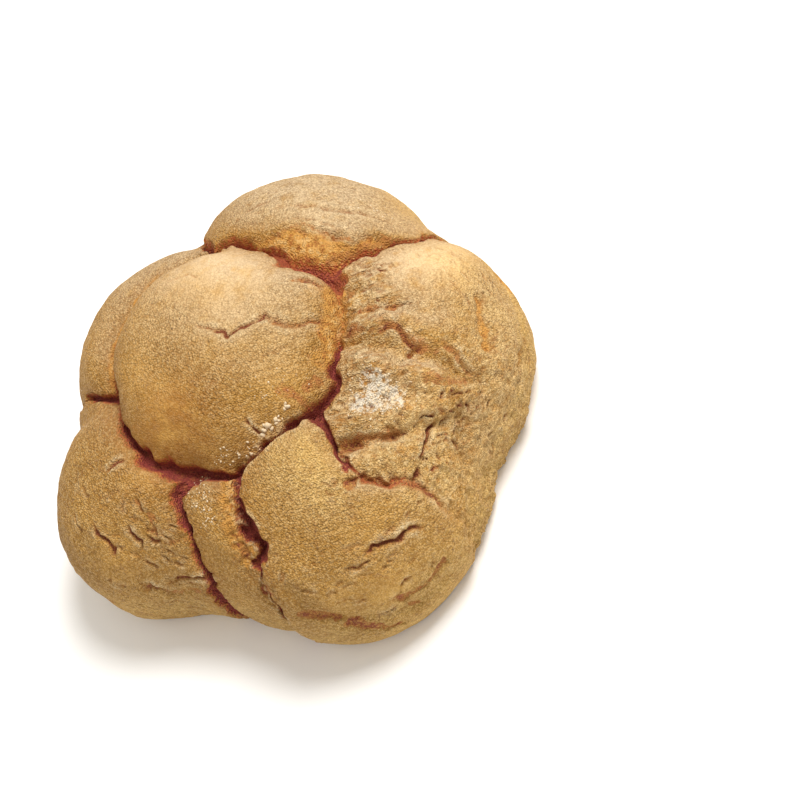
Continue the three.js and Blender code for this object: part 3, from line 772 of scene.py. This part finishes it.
print("grit varies by, before and after ten passes:", [round(float(g.std()), 2) for g in (grit, spread(grit, 10))])

# %% In and beside the slits
# Beside the trough the slit is shallow, and its floor is golden torn dough.
golden_slit = bell(turn(angle + 25), 13, 4)
deep = opened * (1 - 0.75 * golden_slit)
torn = np.maximum(torn, 0.9 * opened * golden_slit)
# The red-brown floor of the slits, angle and share: painted shade makes it darkest below and left of the boss, away
# from the lamp, and orange on the lit side.
BURNT_AND_SHADE_AT = [
    (0, 0.5), (20, 0.4), (45, 0.3), (63, 0.5), (100, 0.35), (140, 0.75), (165, 0.85), (185, 1), (299, 1), (305, 0.6),
    (310, 0.9), (320, 0.9), (326, 0.2), (345, 0.15), (352, 0.35),
]
burnt_and_shade = opened * np.interp(angle, *zip(*BURNT_AND_SHADE_AT), period=360)
crease = np.clip(0.8 * bell(nearest_slit, 2.2, 1.3), 0, 1)
cracked = np.clip(split / 0.7, 0, 1)
mottled = wrinkled * (1 - 0.85 * calm_top) * (1 - step(station, 0.75, 0.05))
# Browner crust beside the slits, and painted shade that is strongest below and left of the boss, away from the lamp.
# The first patch is painted shade on the lower left flank of the boss, the second a golden tint on the left petal.
by_left_slits = bell(turn(angle - 208), 60, 3) * step(0.25 - station, 0, 0.05)
toast_and_shade = bell(nearest_slit, 6.0, 1.6) * (0.35 + 0.65 * by_left_slits)
TOAST_AND_SHADE_AT = [([(212, -0.5), (200, -0.25)], 11, 1.0), ([(184, 0.08), (198, 0.12)], 7, 0.75)]
toast_and_shade = np.clip(np.maximum(toast_and_shade, patches(TOAST_AND_SHADE_AT)), 0, 1)
print("burnt and toasted shares:", round(float(burnt_and_shade.mean()), 3), round(float(toast_and_shade.mean()), 3))

# %% Pale dust and painted highlight on what faces the lamp, towards the top of the picture
DUST_AND_HIGHLIGHT_FROM = np.array([0.55, 0.3, 0.78])
# Swellings with pale dust and painted highlight, and pale gold as well.
LEDGE_TOP, SMOOTH_TOP = [(15, 0.2), (8, 0.24)], [(268, 0.08), (268, 0.2)]
BY_THE_FOLD, BY_THE_GROOVE = [(284, 0.28), (292, 0.34)], [(296, 0.4), (288, 0.46), (290, 0.56)]
WRINKLED_RIM = [(345, 0.5), (330, 0.62), (318, 0.74), (302, 0.8)]
DUST_AND_HIGHLIGHT_AT = [
    (SMOOTH_TOP, 7, 0.3), (BY_THE_GROOVE, 6, 0.35), ([(305, 0.1), (300, 0.3)], 7, 0.5), (BY_THE_FOLD, 4, 0.4),
    (WRINKLED_RIM, 9, 0.45), (LEDGE_TOP, 4.5, 0.9),
]
facing = np.cross(np.gradient(crust, axis=0), np.gradient(crust, axis=1))
facing /= np.linalg.norm(facing, axis=-1, keepdims=True) + 1e-9
facing = np.stack([spread(facing[..., k], 40) for k in range(3)], -1)
facing /= np.linalg.norm(facing, axis=-1, keepdims=True) + 1e-9
# Paler the more the crust faces the lamp: pale dust, and painted highlight.
dust_and_highlight = np.clip((facing @ DUST_AND_HIGHLIGHT_FROM - 0.55) / 0.45, 0, 1) ** 1.5
dust_and_highlight = np.maximum(dust_and_highlight, patches(DUST_AND_HIGHLIGHT_AT))
dust_and_highlight *= 1 - 0.7 * share_of["left"] * (1 - step(station, 0.4, 0.08))
print("dusty share:", round(float(dust_and_highlight.mean()), 3))

# %% Golden torn dough in the sunk strip and in chips near the rim
# The top of the ledge is pale with dust and painted highlight, not torn.
patch, _ = along_path(LEDGE_TOP, place, 15)
torn *= 1 - 0.7 * bell(patch, 3.5, 2.5)
for path, width in ((SUNK_STRIP, 1.2), (RIM_CHIP, 1.3), (LOW_CHIP, 1.1)):
    patch, _ = along_path(path, 0.5 * place + 0.5 * rough_place, 15)
    torn = np.maximum(torn, 0.85 * bell(patch, width * (1 + 0.5 * spot_edge), 4))
    spotted *= 1 - 0.85 * bell(patch, 2 * width, 4)
print("torn share:", round(float(torn.mean()), 3))

# %% Pale gold with painted bounce light, flour and sleek skin
# Painted bounce light from the white floor along the foot of the petals, and pale gold on a few swellings.
GOLD_AND_BOUNCE_AT = [(SMOOTH_TOP, 7, 0.9), (BY_THE_GROOVE, 7, 0.9), (BY_THE_FOLD, 5, 0.7), (WRINKLED_RIM, 9, 0.5)]
FLOUR_PATCH = [(306, 0.14), (303, 0.24), (298, 0.13)]
FLOURY_AT = [
    ([(14, 0.36), (8, 0.42)], 3.5, 0.45), ([(233, -0.13), (257, -0.1), (283, -0.2)], 1.6, 0.4),
    ([(219, 0.06), (224, 0.17)], 2.6, 0.55),
]
SLEEK_AT = [
    ([(29, -0.4), (50, -0.3)], 9, 0.55), ([(209, -0.45), (200, -0.3)], 9, 0.6), ([(345, 0.34), (345, 0.6)], 8, 0.45),
    ([(268, 0.12)] * 2, 6, 0.4), ([(254, 0.62), (262, 0.7)], 6, 0.4),
]
gold_and_bounce_light = np.maximum(step(station, 0.74, 0.06), patches(GOLD_AND_BOUNCE_AT))
patch, _ = along_path(FLOUR_PATCH, place, 15)
floury = np.maximum(bell(patch, 3.9, 2) * wrinkled, patches(FLOURY_AT))
sleek = patches(SLEEK_AT)
grainy = np.clip(1 - sleek + 0.3 * uneven(place, 9, 53), 0.15, 1)
crimped = 0.35 + 0.65 * share_of["smooth"] * step(station, 0.25, 0.05) + 0.5 * share_of["left"] + wrinkled - sleek
crimped = np.clip(crimped, 0, 1) * on_petals
print("golden, floury and sleek shares:", [round(float(m.mean()), 3) for m in (gold_and_bounce_light, floury, sleek)])

# %% All the masks, by name
masks = dict(
    deep=deep, burnt_and_shade=burnt_and_shade, lips=lips * grit, gold_and_bounce_light=gold_and_bounce_light, crease=crease, torn=spread(torn, 2), dust_and_highlight=dust_and_highlight,
    floury=floury, grainy=grainy, crimped=crimped, spotted=spotted, cracked=cracked, raised=np.clip(raised, 0, 1),
    mottled=mottled, toast_and_shade=toast_and_shade,
    # Millimetres out from the boss rim and round the roll, for the fine crimps and pleats.
    run_out=np.where(station < 0, station * BOSS_RUN, station * PETAL_RUN),
    run_round=turn(angle + 30) * np.pi / 180 * radius,
    by_the_boss=by_the_boss,
)
print("masks:", ", ".join(masks))

# %% [markdown]
# ## One closed mesh
# The two sheets share the points of the cut edge. The first mesh has about a million triangles; a
# Decimate modifier then spends fewer on the plain parts and keeps them at the cracks. The masks ride
# along as point attributes, and the square sheets are the texture map.

# %% Build the mesh
def put(name, data):
    """A new object with that data, in the scene."""
    made = bpy.data.objects.new(name, data)
    bpy.context.collection.objects.link(made)
    return made


count = ACROSS * ACROSS
on_edge = cut_edge.ravel()
number_under = np.where(on_edge, np.arange(count), count + np.cumsum(~on_edge) - 1)
points = np.concatenate([crust.reshape(-1, 3), flat.reshape(-1, 3)[~on_edge]]) * MM
grid = np.arange(count).reshape(ACROSS, ACROSS)
corners = np.stack([grid[:-1, :-1], grid[1:, :-1], grid[1:, 1:], grid[:-1, 1:]], -1).reshape(-1, 4)
faces = np.concatenate([corners, number_under[corners][:, ::-1]])
texture = np.stack([(sheet_u + 1) / 2, (sheet_v + 1) / 2], -1).reshape(-1, 2)
corner_texture = np.concatenate([0.005 + 0.7 * texture[corners], 0.715 + 0.28 * texture[corners[:, ::-1]]])

mesh = bpy.data.meshes.new("rosetta_half")
mesh.vertices.add(len(points))
mesh.vertices.foreach_set("co", points.astype(np.float32).ravel())
mesh.loops.add(faces.size)
mesh.loops.foreach_set("vertex_index", faces.astype(np.int32).ravel())
mesh.polygons.add(len(faces))
mesh.polygons.foreach_set("loop_start", np.arange(0, faces.size, 4, dtype=np.int32))
mesh.polygons.foreach_set("material_index", np.repeat([0, 1], len(corners)).astype(np.int32))
mesh.update(calc_edges=True)
chart = mesh.uv_layers.new(name="OFBake")
chart.uv.foreach_set("vector", corner_texture.astype(np.float32).ravel())
for name, field in masks.items():
    under = np.zeros((~on_edge).sum())
    mesh.attributes.new(name, "FLOAT", "POINT").data.foreach_set(
        "value", np.concatenate([field.ravel(), under]).astype(np.float32)
    )
mesh.shade_smooth()
half = put("rosetta_half", mesh)
print("points:", len(points), "faces:", len(faces))

# %% Thin the mesh where it is plain
TRIANGLES = 190000
thin = half.modifiers.new("thin", "DECIMATE")
thin.ratio = TRIANGLES / (2 * len(faces))
bpy.context.view_layer.update()
thinned = bpy.data.meshes.new_from_object(half.evaluated_get(bpy.context.evaluated_depsgraph_get()))
half.modifiers.clear()
half.data = thinned
half.data.name = "rosetta_half"
print("triangles:", sum(len(p.vertices) - 2 for p in half.data.polygons))
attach(half, "root")
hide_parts("rosetta_top_half")

# %% [markdown]
# ## Colours and one helper for nodes
# Colours are picked as sRGB hex values, as an eyedropper shows them, but the renderer mixes light in
# linear values, so one function converts them. One more adds a shader node with its settings and
# links, which keeps each material readable.

# %% Colour and node helpers
def linear(hex_colour):
    """sRGB hex to linear red, green, blue and alpha."""
    parts = [int(hex_colour[i : i + 2], 16) / 255 for i in (1, 3, 5)]
    return (*[c / 12.92 if c <= 0.04045 else ((c + 0.055) / 1.055) ** 2.4 for c in parts], 1)


def add(tree, kind, settings=None, values=None, links=None):
    """A node with its settings, socket values and incoming links."""
    made = tree.nodes.new(kind)
    for key, value in (settings or {}).items():
        setattr(made, key, value)
    for key, value in (values or {}).items():
        made.inputs[key].default_value = value
    for key, source in (links or {}).items():
        tree.links.new(source, made.inputs[key])
    return made


print("golden tan in linear:", [round(c, 3) for c in linear("#D3A56C")])

# %% [markdown]
# ## Baked crust
# The skin is starch dried and browned by the oven's dry heat: golden tan, matt and granular. Sugar
# and moisture collect in the creases, so these are more orange and end red-brown at the bottom.
# Raised lips are paler. Some layers paint light: highlight on what faces the lamp, bounce light along
# the foot, and shade in the slits and beside them away from the lamp, in the gaps between grains and
# in the hollows of crimps, pleats and crumbs. The masks from the mesh say where each lies, and noise
# breaks them up. Bread reflects like any dry starch, IOR 1.5 and rough.

# %% The crust material: masks and noises
crust_skin = bpy.data.materials.new("golden_crust_oven_baked")
crust_skin.use_nodes = True
tree = crust_skin.node_tree
tree.nodes.clear()
where = add(tree, "ShaderNodeTexCoord").outputs["Object"]
shown = {name: add(tree, "ShaderNodeAttribute", {"attribute_name": name}).outputs["Fac"] for name in masks}
# Name, size of a bump in millimetres, detail, roughness. The sand here and the round grains below are
# drawn at 0.4 mm, coarser than real bran and flour, so that they show in a picture of this size.
NOISES = [
    ("patches", 14, 3, 0.55), ("blotches", 3.4, 3, 0.6), ("crumbs", 1.3, 3, 0.65), ("sand", 0.42, 1, 0.5),
    ("fine", 0.24, 1, 0.5), ("scattered", 6, 1, 0.5),
]
for name, size, detail, rough in NOISES:
    values = {"Scale": 1 / (size * MM), "Detail": detail, "Roughness": rough}
    shown[name] = add(tree, "ShaderNodeTexNoise", None, values, {"Vector": where}).outputs["Fac"]
# Crimps are folds of the skin, thin along one way and long along the other.
for name, way, across, along in (("crimps", "run_out", 1.0, 2.6), ("pleats", "run_round", 0.8, 2.4)):
    line = add(tree, "ShaderNodeCombineXYZ", None, None, {"Z": shown[way]})
    slow = add(tree, "ShaderNodeVectorMath", {"operation": "SCALE"}, {"Scale": 1 / (along * MM)}, {0: where})
    links = {0: line.outputs[0], 2: slow.outputs[0]}
    fast = add(tree, "ShaderNodeVectorMath", {"operation": "MULTIPLY_ADD"}, {1: (0, 0, 1 / across)}, links)
    values = {"Scale": 1, "Detail": 2, "Roughness": 0.6, "Distortion": 0.4}
    shown[name] = add(tree, "ShaderNodeTexNoise", None, values, {"Vector": fast.outputs[0]}).outputs["Fac"]
print("noises:", len(NOISES) + 2)

# %% The crust material: round grains and hairline cracks
GRAIN_APART, DRIED_APART = 0.4, 5
# The skin is a layer of round grains, each of its own tone, with the gaps between them darkened as painted shade.
grain = add(tree, "ShaderNodeTexVoronoi", {"feature": "F1"}, {"Scale": 1 / (GRAIN_APART * MM)}, {"Vector": where})
shown["gaps"] = grain.outputs["Distance"]
shown["tones"] = add(tree, "ShaderNodeSeparateColor", None, None, {"Color": grain.outputs["Color"]}).outputs["Red"]
# Hairline cracks run between the cells of a dried skin, five millimetres across, and only here and there.
warp = add(tree, "ShaderNodeTexNoise", None, {"Scale": 1 / (2.2 * MM), "Detail": 2}, {"Vector": where})
links = {0: warp.outputs["Color"], 2: where}
bent = add(tree, "ShaderNodeVectorMath", {"operation": "MULTIPLY_ADD"}, {1: [1.6 * MM] * 3}, links)
cells = {"Scale": 1 / (DRIED_APART * MM)}
dried = add(tree, "ShaderNodeTexVoronoi", {"feature": "DISTANCE_TO_EDGE"}, cells, {"Vector": bent.outputs[0]})
thin_line = {"From Min": 0.01, "From Max": 0.035, "To Min": 1, "To Max": 0}
line = add(tree, "ShaderNodeMapRange", None, thin_line, {"Value": dried.outputs["Distance"]})
some = add(tree, "ShaderNodeMapRange", None, {"From Min": 0.57, "From Max": 0.63}, {"Value": shown["scattered"]})
links = {0: line.outputs[0], 1: some.outputs[0]}
shown["hairlines"] = add(tree, "ShaderNodeMath", {"operation": "MULTIPLY"}, None, links).outputs[0]
print("fields:", len(shown))

# %% The crust material: height of the skin
# Field, its share of the height, and the mask that says where it lies.
HEIGHTS = [
    ("gaps", -0.34, "grainy"), ("fine", 0.24, "grainy"), ("crumbs", 0.34, None), ("crimps", 0.3, "crimped"),
    ("pleats", 0.7, "by_the_boss"),
]
height_of = None
for name, share, mask in HEIGHTS:
    part = add(tree, "ShaderNodeMath", {"operation": "MULTIPLY"}, {1: share}, {0: shown[name]})
    if mask:
        part = add(tree, "ShaderNodeMath", {"operation": "MULTIPLY"}, None, {0: part.outputs[0], 1: shown[mask]})
    if height_of is not None:
        part = add(tree, "ShaderNodeMath", {"operation": "ADD"}, None, {0: part.outputs[0], 1: height_of})
    height_of = part.outputs[0]
bump = add(tree, "ShaderNodeBump", None, {"Strength": 1.0, "Distance": 1.5 * MM}, {"Height": height_of})
print("bump fields:", len(HEIGHTS))

# %% The crust material: layers of colour
BASE = "#B78942"
# Colour, where it lies, the noise that breaks it up, where that noise starts and ends, its share, and
# whether its edge is crisp: then the two are multiplied first, so it thins out into specks.
LAYERS = [
    ("#CF9E50", None, "patches", 0.38, 0.62, 0.9, False),
    # Pale dust and painted highlight on what faces the lamp.
    ("#DBC098", "dust_and_highlight", "blotches", 0.1, 0.5, 0.95, False),
    # Browner crust by the slits, and painted shade below and left of the boss.
    ("#946024", "toast_and_shade", "blotches", 0.2, 0.6, 0.85, False),
    # Painted bounce light along the foot, and pale gold on a few swellings.
    ("#E4BC6E", "gold_and_bounce_light", "blotches", 0.2, 0.6, 0.85, False),
    ("#D8A04E", "mottled", "blotches", 0.46, 0.36, 0.7, False),
    # Painted shade and highlight: darker in the hollows of the crumb bump, paler on its tops.
    ("#BA7834", "mottled", "crumbs", 0.46, 0.34, 0.5, False),
    ("#F2D49C", "mottled", "crumbs", 0.5, 0.66, 0.65, False),
    ("#855A24", "grainy", "tones", 0.75, 0.0, 0.42, False),
    ("#F0D09A", "grainy", "tones", 0.35, 1.0, 0.32, False),
    # Painted shade in the gaps between the grains, which are low in the bump.
    ("#85581E", "grainy", "gaps", 0.45, 0.85, 0.45, False),
    ("#74451F", "grainy", "tones", 0.975, 0.98, 0.5, False),
    # Painted shade along the hollows of the crimps.
    ("#8A5A26", "crimped", "crimps", 0.45, 0.3, 0.35, False),
    # Painted shade in the hollows of the pleats and painted highlight on their crests.
    ("#B47A38", "by_the_boss", "pleats", 0.47, 0.34, 0.65, False),
    ("#EDD2A2", "by_the_boss", "pleats", 0.52, 0.66, 0.6, False),
    ("#BA7C38", "crease", "crumbs", 0.35, 0.6, 0.7, False),
    ("#CE9446", "torn", "blotches", 0.2, 0.4, 0.85, True),
    # Painted highlight on the tops of the crumb bump and painted shade in its hollows.
    ("#E4C084", "torn", "crumbs", 0.48, 0.62, 0.6, True),
    ("#A0602C", "torn", "crumbs", 0.48, 0.36, 0.85, False),
    ("#8C5230", "crimped", "hairlines", 0, 1, 0.35, False),
    ("#F0D9AC", "raised", "sand", 0.3, 0.6, 0.75, False),
    ("#9C6030", "cracked", "sand", 0.0, 0.3, 0.85, False),
    ("#84442E", "cracked", "sand", 0.28, 0.42, 0.85, True),
    ("#B0733C", "spotted", "crumbs", 0.26, 0.38, 0.85, True),
    ("#8E4834", "spotted", "crumbs", 0.42, 0.5, 0.75, True),
    ("#C89450", "spotted", "tones", 0.6, 0.8, 0.65, True),
    ("#BE663A", "deep", "tones", 0.05, 0.3, 0.92, True),
    ("#A05036", "deep", "crumbs", 0.3, 0.42, 0.8, True),
    # Red-brown slit floors, darkest as painted shade on the side away from the lamp.
    ("#8E3E36", "burnt_and_shade", "sand", 0.2, 0.3, 0.95, True),
    ("#A8603A", "burnt_and_shade", "crumbs", 0.5, 0.6, 0.6, True),
    ("#6A2A2A", "burnt_and_shade", "tones", 0.7, 0.9, 0.55, True),
    ("#DDBE8C", "lips", "sand", 0.12, 0.32, 0.6, True),
    ("#F0E6D2", "floury", "crumbs", 0.36, 0.48, 0.75, True),
]
tone = None
for colour, mask, breaker, low, high, share, crisp in LAYERS:
    cover = shown[breaker]
    if crisp:
        cover = add(tree, "ShaderNodeMath", {"operation": "MULTIPLY"}, None, {0: cover, 1: shown[mask]}).outputs[0]
    ranges = {"From Min": low, "From Max": high, "To Min": 0, "To Max": share}
    cover = add(tree, "ShaderNodeMapRange", None, ranges, {"Value": cover}).outputs["Result"]
    if mask and not crisp:
        cover = add(tree, "ShaderNodeMath", {"operation": "MULTIPLY"}, None, {0: cover, 1: shown[mask]}).outputs[0]
    colours = {"A": linear(BASE), "B": linear(colour)}
    layer = add(tree, "ShaderNodeMix", {"data_type": "RGBA"}, colours, {"Factor": cover})
    if tone is not None:
        tree.links.new(tone, layer.inputs["A"])
    tone = layer.outputs["Result"]
skin = add(
    tree, "ShaderNodeBsdfPrincipled", None,
    {"Roughness": 0.7, "IOR": 1.5, "Specular IOR Level": 0.2},
    {"Base Color": tone, "Normal": bump.outputs["Normal"]},
)
add(tree, "ShaderNodeOutputMaterial", None, None, {"Surface": skin.outputs[0]})
half.data.materials.clear()
half.data.materials.append(crust_skin)
print("crust nodes:", len(tree.nodes))

# %% [markdown]
# ## Crumb
# The crumb is the soft inside: pale cream, a sponge of wheat starch with thin walls. Light goes a
# little way in, so the material scatters under its surface, and its pores are a touch browner.

# %% The crumb material
crumb = bpy.data.materials.new("wheat_crumb_knife_cut")
crumb.use_nodes = True
tree = crumb.node_tree
tree.nodes.clear()
where = add(tree, "ShaderNodeTexCoord").outputs["Object"]
crumb_noises = [
    add(tree, "ShaderNodeTexNoise", None, {"Scale": 1 / (size * MM), "Detail": detail}, {"Vector": where})
    for size, detail in ((5, 3), (0.9, 2))
]
soft, pitted = (noise.outputs["Fac"] for noise in crumb_noises)
pores = add(tree, "ShaderNodeTexVoronoi", {"feature": "F1"}, {"Scale": 1 / (1.1 * MM)}, {"Vector": where})
colours = {"A": linear("#E9D7AC"), "B": linear("#F6EBCB")}
cream = add(tree, "ShaderNodeMix", {"data_type": "RGBA"}, colours, {"Factor": soft})
browner = add(tree, "ShaderNodeMapRange", None, {"From Min": 0.58, "From Max": 0.75, "To Max": 0.6}, {"Value": pitted})
links = {"Factor": browner.outputs["Result"], "A": cream.outputs["Result"]}
tone = add(tree, "ShaderNodeMix", {"data_type": "RGBA"}, {"B": linear("#D9BC80")}, links)
walls = add(tree, "ShaderNodeMath", {"operation": "MULTIPLY_ADD"}, {1: 0.6}, {0: pitted, 2: pores.outputs["Distance"]})
bump = add(tree, "ShaderNodeBump", None, {"Strength": 0.6, "Distance": 0.3 * MM}, {"Height": walls.outputs[0]})
starch = {"Roughness": 0.85, "IOR": 1.45, "Specular IOR Level": 0.25}
scattering = {"Subsurface Weight": 0.2, "Subsurface Scale": 1.5 * MM}
sponge = add(
    tree, "ShaderNodeBsdfPrincipled", None, {**starch, **scattering},
    {"Base Color": tone.outputs["Result"], "Normal": bump.outputs["Normal"]},
)
add(tree, "ShaderNodeOutputMaterial", None, None, {"Surface": sponge.outputs[0]})
half.data.materials.append(crumb)
print("crumb nodes:", len(tree.nodes))

# %% [markdown]
# ## Flour and loose grains
# The baker dusts the stamp with flour. Some of it cakes on the crust as white lumps along the foot of
# the boss and in a patch beside it. A particle system would scatter them in a moment, but here each
# grain is a small lump with its own size, half sunk in the crust, all joined into one mesh.

# %% Where the grains lie, and one plain lump
# Path, half width of the patch, how many, smallest and largest in millimetres.
GRAIN_SPOTS = [
    ([(266, -0.14), (264, -0.12)], 0.7, 9, 0.3, 0.7), ([(274, -0.16), (272, -0.14)], 0.5, 5, 0.3, 0.6),
    ([(283, -0.22), (280, -0.19)], 0.5, 5, 0.25, 0.55), ([(253, -0.09), (246, -0.12)], 1.0, 12, 0.15, 0.36),
    ([(244, -0.15), (230, -0.14)], 1.2, 22, 0.1, 0.28), ([(285, -0.45), (297, -0.3)], 2.2, 24, 0.1, 0.22),
    (FLOUR_PATCH, 3.4, 150, 0.1, 0.3), ([(303, 0.2), (302, 0.24)], 1.0, 14, 0.25, 0.5),
    ([(219, 0.06), (224, 0.17)], 2.0, 60, 0.1, 0.26), ([(14, 0.36), (8, 0.42)], 2.2, 30, 0.1, 0.22),
]
LUMP = np.array([
    (0, 0, 1), (0.894, 0, 0.447), (0.276, 0.851, 0.447), (-0.724, 0.526, 0.447), (-0.724, -0.526, 0.447),
    (0.276, -0.851, 0.447), (0.724, 0.526, -0.447), (-0.276, 0.851, -0.447), (-0.894, 0, -0.447),
    (-0.276, -0.851, -0.447), (0.724, -0.526, -0.447), (0, 0, -1),
])
LUMP_SIDES = np.array([
    (0, 1, 2), (0, 2, 3), (0, 3, 4), (0, 4, 5), (0, 5, 1), (1, 6, 2), (2, 7, 3), (3, 8, 4), (4, 9, 5), (5, 10, 1),
    (6, 7, 2), (7, 8, 3), (8, 9, 4), (9, 10, 5), (10, 6, 1), (11, 7, 6), (11, 8, 7), (11, 9, 8), (11, 10, 9),
    (11, 6, 10),
])
print("grains to place:", sum(row[2] for row in GRAIN_SPOTS))

# %% Grains of flour on the crust
ROUGH, LIFTED = 0.35, 0.15  # against the size of the grain
rng = np.random.default_rng(7)
grain_points, grain_sides = [], []
for path, width, how_many, small, large in GRAIN_SPOTS:
    distance, _ = along_path(path, place)
    near = np.argwhere(distance < 1.6 * width)
    chance = bell(distance[near[:, 0], near[:, 1]], width)
    for i, j in near[rng.choice(len(near), how_many, p=chance / chance.sum())]:
        size = small + (large - small) * rng.random() ** 1.8
        uneven_lump = LUMP * size * (1 + ROUGH * rng.standard_normal((12, 1)).clip(-1.5, 1.5))
        lump = uneven_lump * (1, 0.7 + 0.4 * rng.random(), 0.6)
        spin = Matrix.Rotation(rng.random() * math.tau, 3, "Z")
        tip = Vector(facing[i, j]).to_track_quat("Z", "Y").to_matrix() @ spin
        grain_sides.append(LUMP_SIDES + 12 * len(grain_points))
        grain_points.append(crust[i, j] + lump @ np.array(tip).T + LIFTED * size * facing[i, j])
grain_mesh = bpy.data.meshes.new("flour_grains")
grain_mesh.from_pydata((np.concatenate(grain_points) * MM).tolist(), [], np.concatenate(grain_sides).tolist())
grain_mesh.shade_smooth()
grains = put("flour_grains", grain_mesh)
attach(grains, "root")
print("grains:", len(grain_points))

# %% The flour material
caked_flour = bpy.data.materials.new("white_flour_caked")
caked_flour.use_nodes = True
tree = caked_flour.node_tree
where = add(tree, "ShaderNodeTexCoord").outputs["Object"]
mealy = add(tree, "ShaderNodeTexNoise", None, {"Scale": 1 / (0.6 * MM), "Detail": 3}, {"Vector": where}).outputs["Fac"]
colours = {"A": linear("#C9A878"), "B": linear("#EADCC2")}
tone = add(tree, "ShaderNodeMix", {"data_type": "RGBA"}, colours, {"Factor": mealy})
bump = add(tree, "ShaderNodeBump", None, {"Strength": 0.5, "Distance": 0.15 * MM}, {"Height": mealy})
lump_shader = tree.nodes["Principled BSDF"]
tree.links.new(tone.outputs["Result"], lump_shader.inputs["Base Color"])
tree.links.new(bump.outputs["Normal"], lump_shader.inputs["Normal"])
lump_shader.inputs["Roughness"].default_value = 0.9
lump_shader.inputs["Specular IOR Level"].default_value = 0.2
grain_mesh.materials.append(caked_flour)
print("flour nodes:", len(tree.nodes))

# %% [markdown]
# ## Camera
# The photograph looks down at the roll from about 59 degrees, from far away, so the view is nearly
# parallel. The picture is also turned, so that the boss points up and to the left. The camera is
# placed from those angles, from the pixel on which the middle of the cut face lies, and from the
# size of a millimetre in the picture.

# %% Place the camera
LOOK_DOWN, TURNED = math.radians(59), math.radians(44)
DISTANCE, PIXELS_PER_MM = 560, 4.85
PICTURE = 800
BASE_PIXEL = (293.5, 432.5)
level_right, level_up = Vector((1, 0, 0)), Vector((0, math.sin(LOOK_DOWN), math.cos(LOOK_DOWN)))
back = Vector((0, -math.cos(LOOK_DOWN), math.sin(LOOK_DOWN)))
right = math.cos(TURNED) * level_right - math.sin(TURNED) * level_up
up = math.sin(TURNED) * level_right + math.cos(TURNED) * level_up
camera_data = bpy.data.cameras.new("camera")
camera_data.sensor_width = 36
camera_data.lens = PIXELS_PER_MM * DISTANCE * camera_data.sensor_width / PICTURE
camera = put("camera", camera_data)
aside = (PICTURE / 2 - BASE_PIXEL[0]) / PIXELS_PER_MM
above = (BASE_PIXEL[1] - PICTURE / 2) / PIXELS_PER_MM
stands_at = (back * DISTANCE + right * aside + up * above) * MM
camera.matrix_world = Matrix.Translation(stands_at) @ Matrix((right, up, back)).transposed().to_4x4()
camera_data.clip_start = 0.01
bpy.context.scene.camera = camera
print("lens, mm:", round(camera_data.lens, 1))

# %% [markdown]
# ## Studio
# The bread lies on white in soft light. A large lamp hangs over it, off its middle, so that the shadow
# falls to the lower left of the picture, and white surroundings fill it. The floor is a plain matt sheet.

# %% Floor
FLOOR_GAP = 0.2  # millimetres under the cut face
floor_mesh = bpy.data.meshes.new("floor")
floor_mesh.from_pydata([(-3, -3, 0), (3, -3, 0), (3, 3, 0), (-3, 3, 0)], [], [(0, 1, 2, 3)])
floor = put("floor", floor_mesh)
floor.location.z = -FLOOR_GAP * MM
paper = bpy.data.materials.new("matt_white_paper_sweep")
paper.use_nodes = True
tree = paper.node_tree
where = add(tree, "ShaderNodeTexCoord").outputs["Object"]
sheet = tree.nodes["Principled BSDF"]
cloudy = add(tree, "ShaderNodeTexNoise", None, {"Scale": 1 / (60 * MM), "Detail": 2}, {"Vector": where}).outputs["Fac"]
colours = {"A": linear("#FAFAF9"), "B": linear("#FCFCFB")}
white = add(tree, "ShaderNodeMix", {"data_type": "RGBA"}, colours, {"Factor": cloudy})
tree.links.new(white.outputs["Result"], sheet.inputs["Base Color"])
sheet.inputs["Roughness"].default_value = 0.9
sheet.inputs["Specular IOR Level"].default_value = 0.1
floor_mesh.materials.append(paper)
print("floor nodes:", len(tree.nodes))

# %% Lamp and surroundings
LAMP_WIDE, LAMP_AWAY, LAMP_WATTS, SURROUNDINGS = 0.4, 0.9, 8.2, 0.73
light_way = Vector((0.697, 0.078, 1.228)).normalized()
lamp_data = bpy.data.lights.new("softbox", "AREA")
lamp_data.shape = "DISK"
lamp_data.size = LAMP_WIDE
lamp_data.energy = LAMP_WATTS
lamp = put("softbox", lamp_data)
lamp.location = light_way * LAMP_AWAY
lamp.rotation_euler = light_way.to_track_quat("Z", "Y").to_euler()

world = bpy.data.worlds.new("white surroundings")
world.use_nodes = True
world.node_tree.nodes["Background"].inputs["Color"].default_value = linear("#FFFAF2")
world.node_tree.nodes["Background"].inputs["Strength"].default_value = SURROUNDINGS
bpy.context.scene.world = world
bpy.context.scene.view_settings.view_transform = "Standard"
print("lamp, W:", lamp_data.energy)
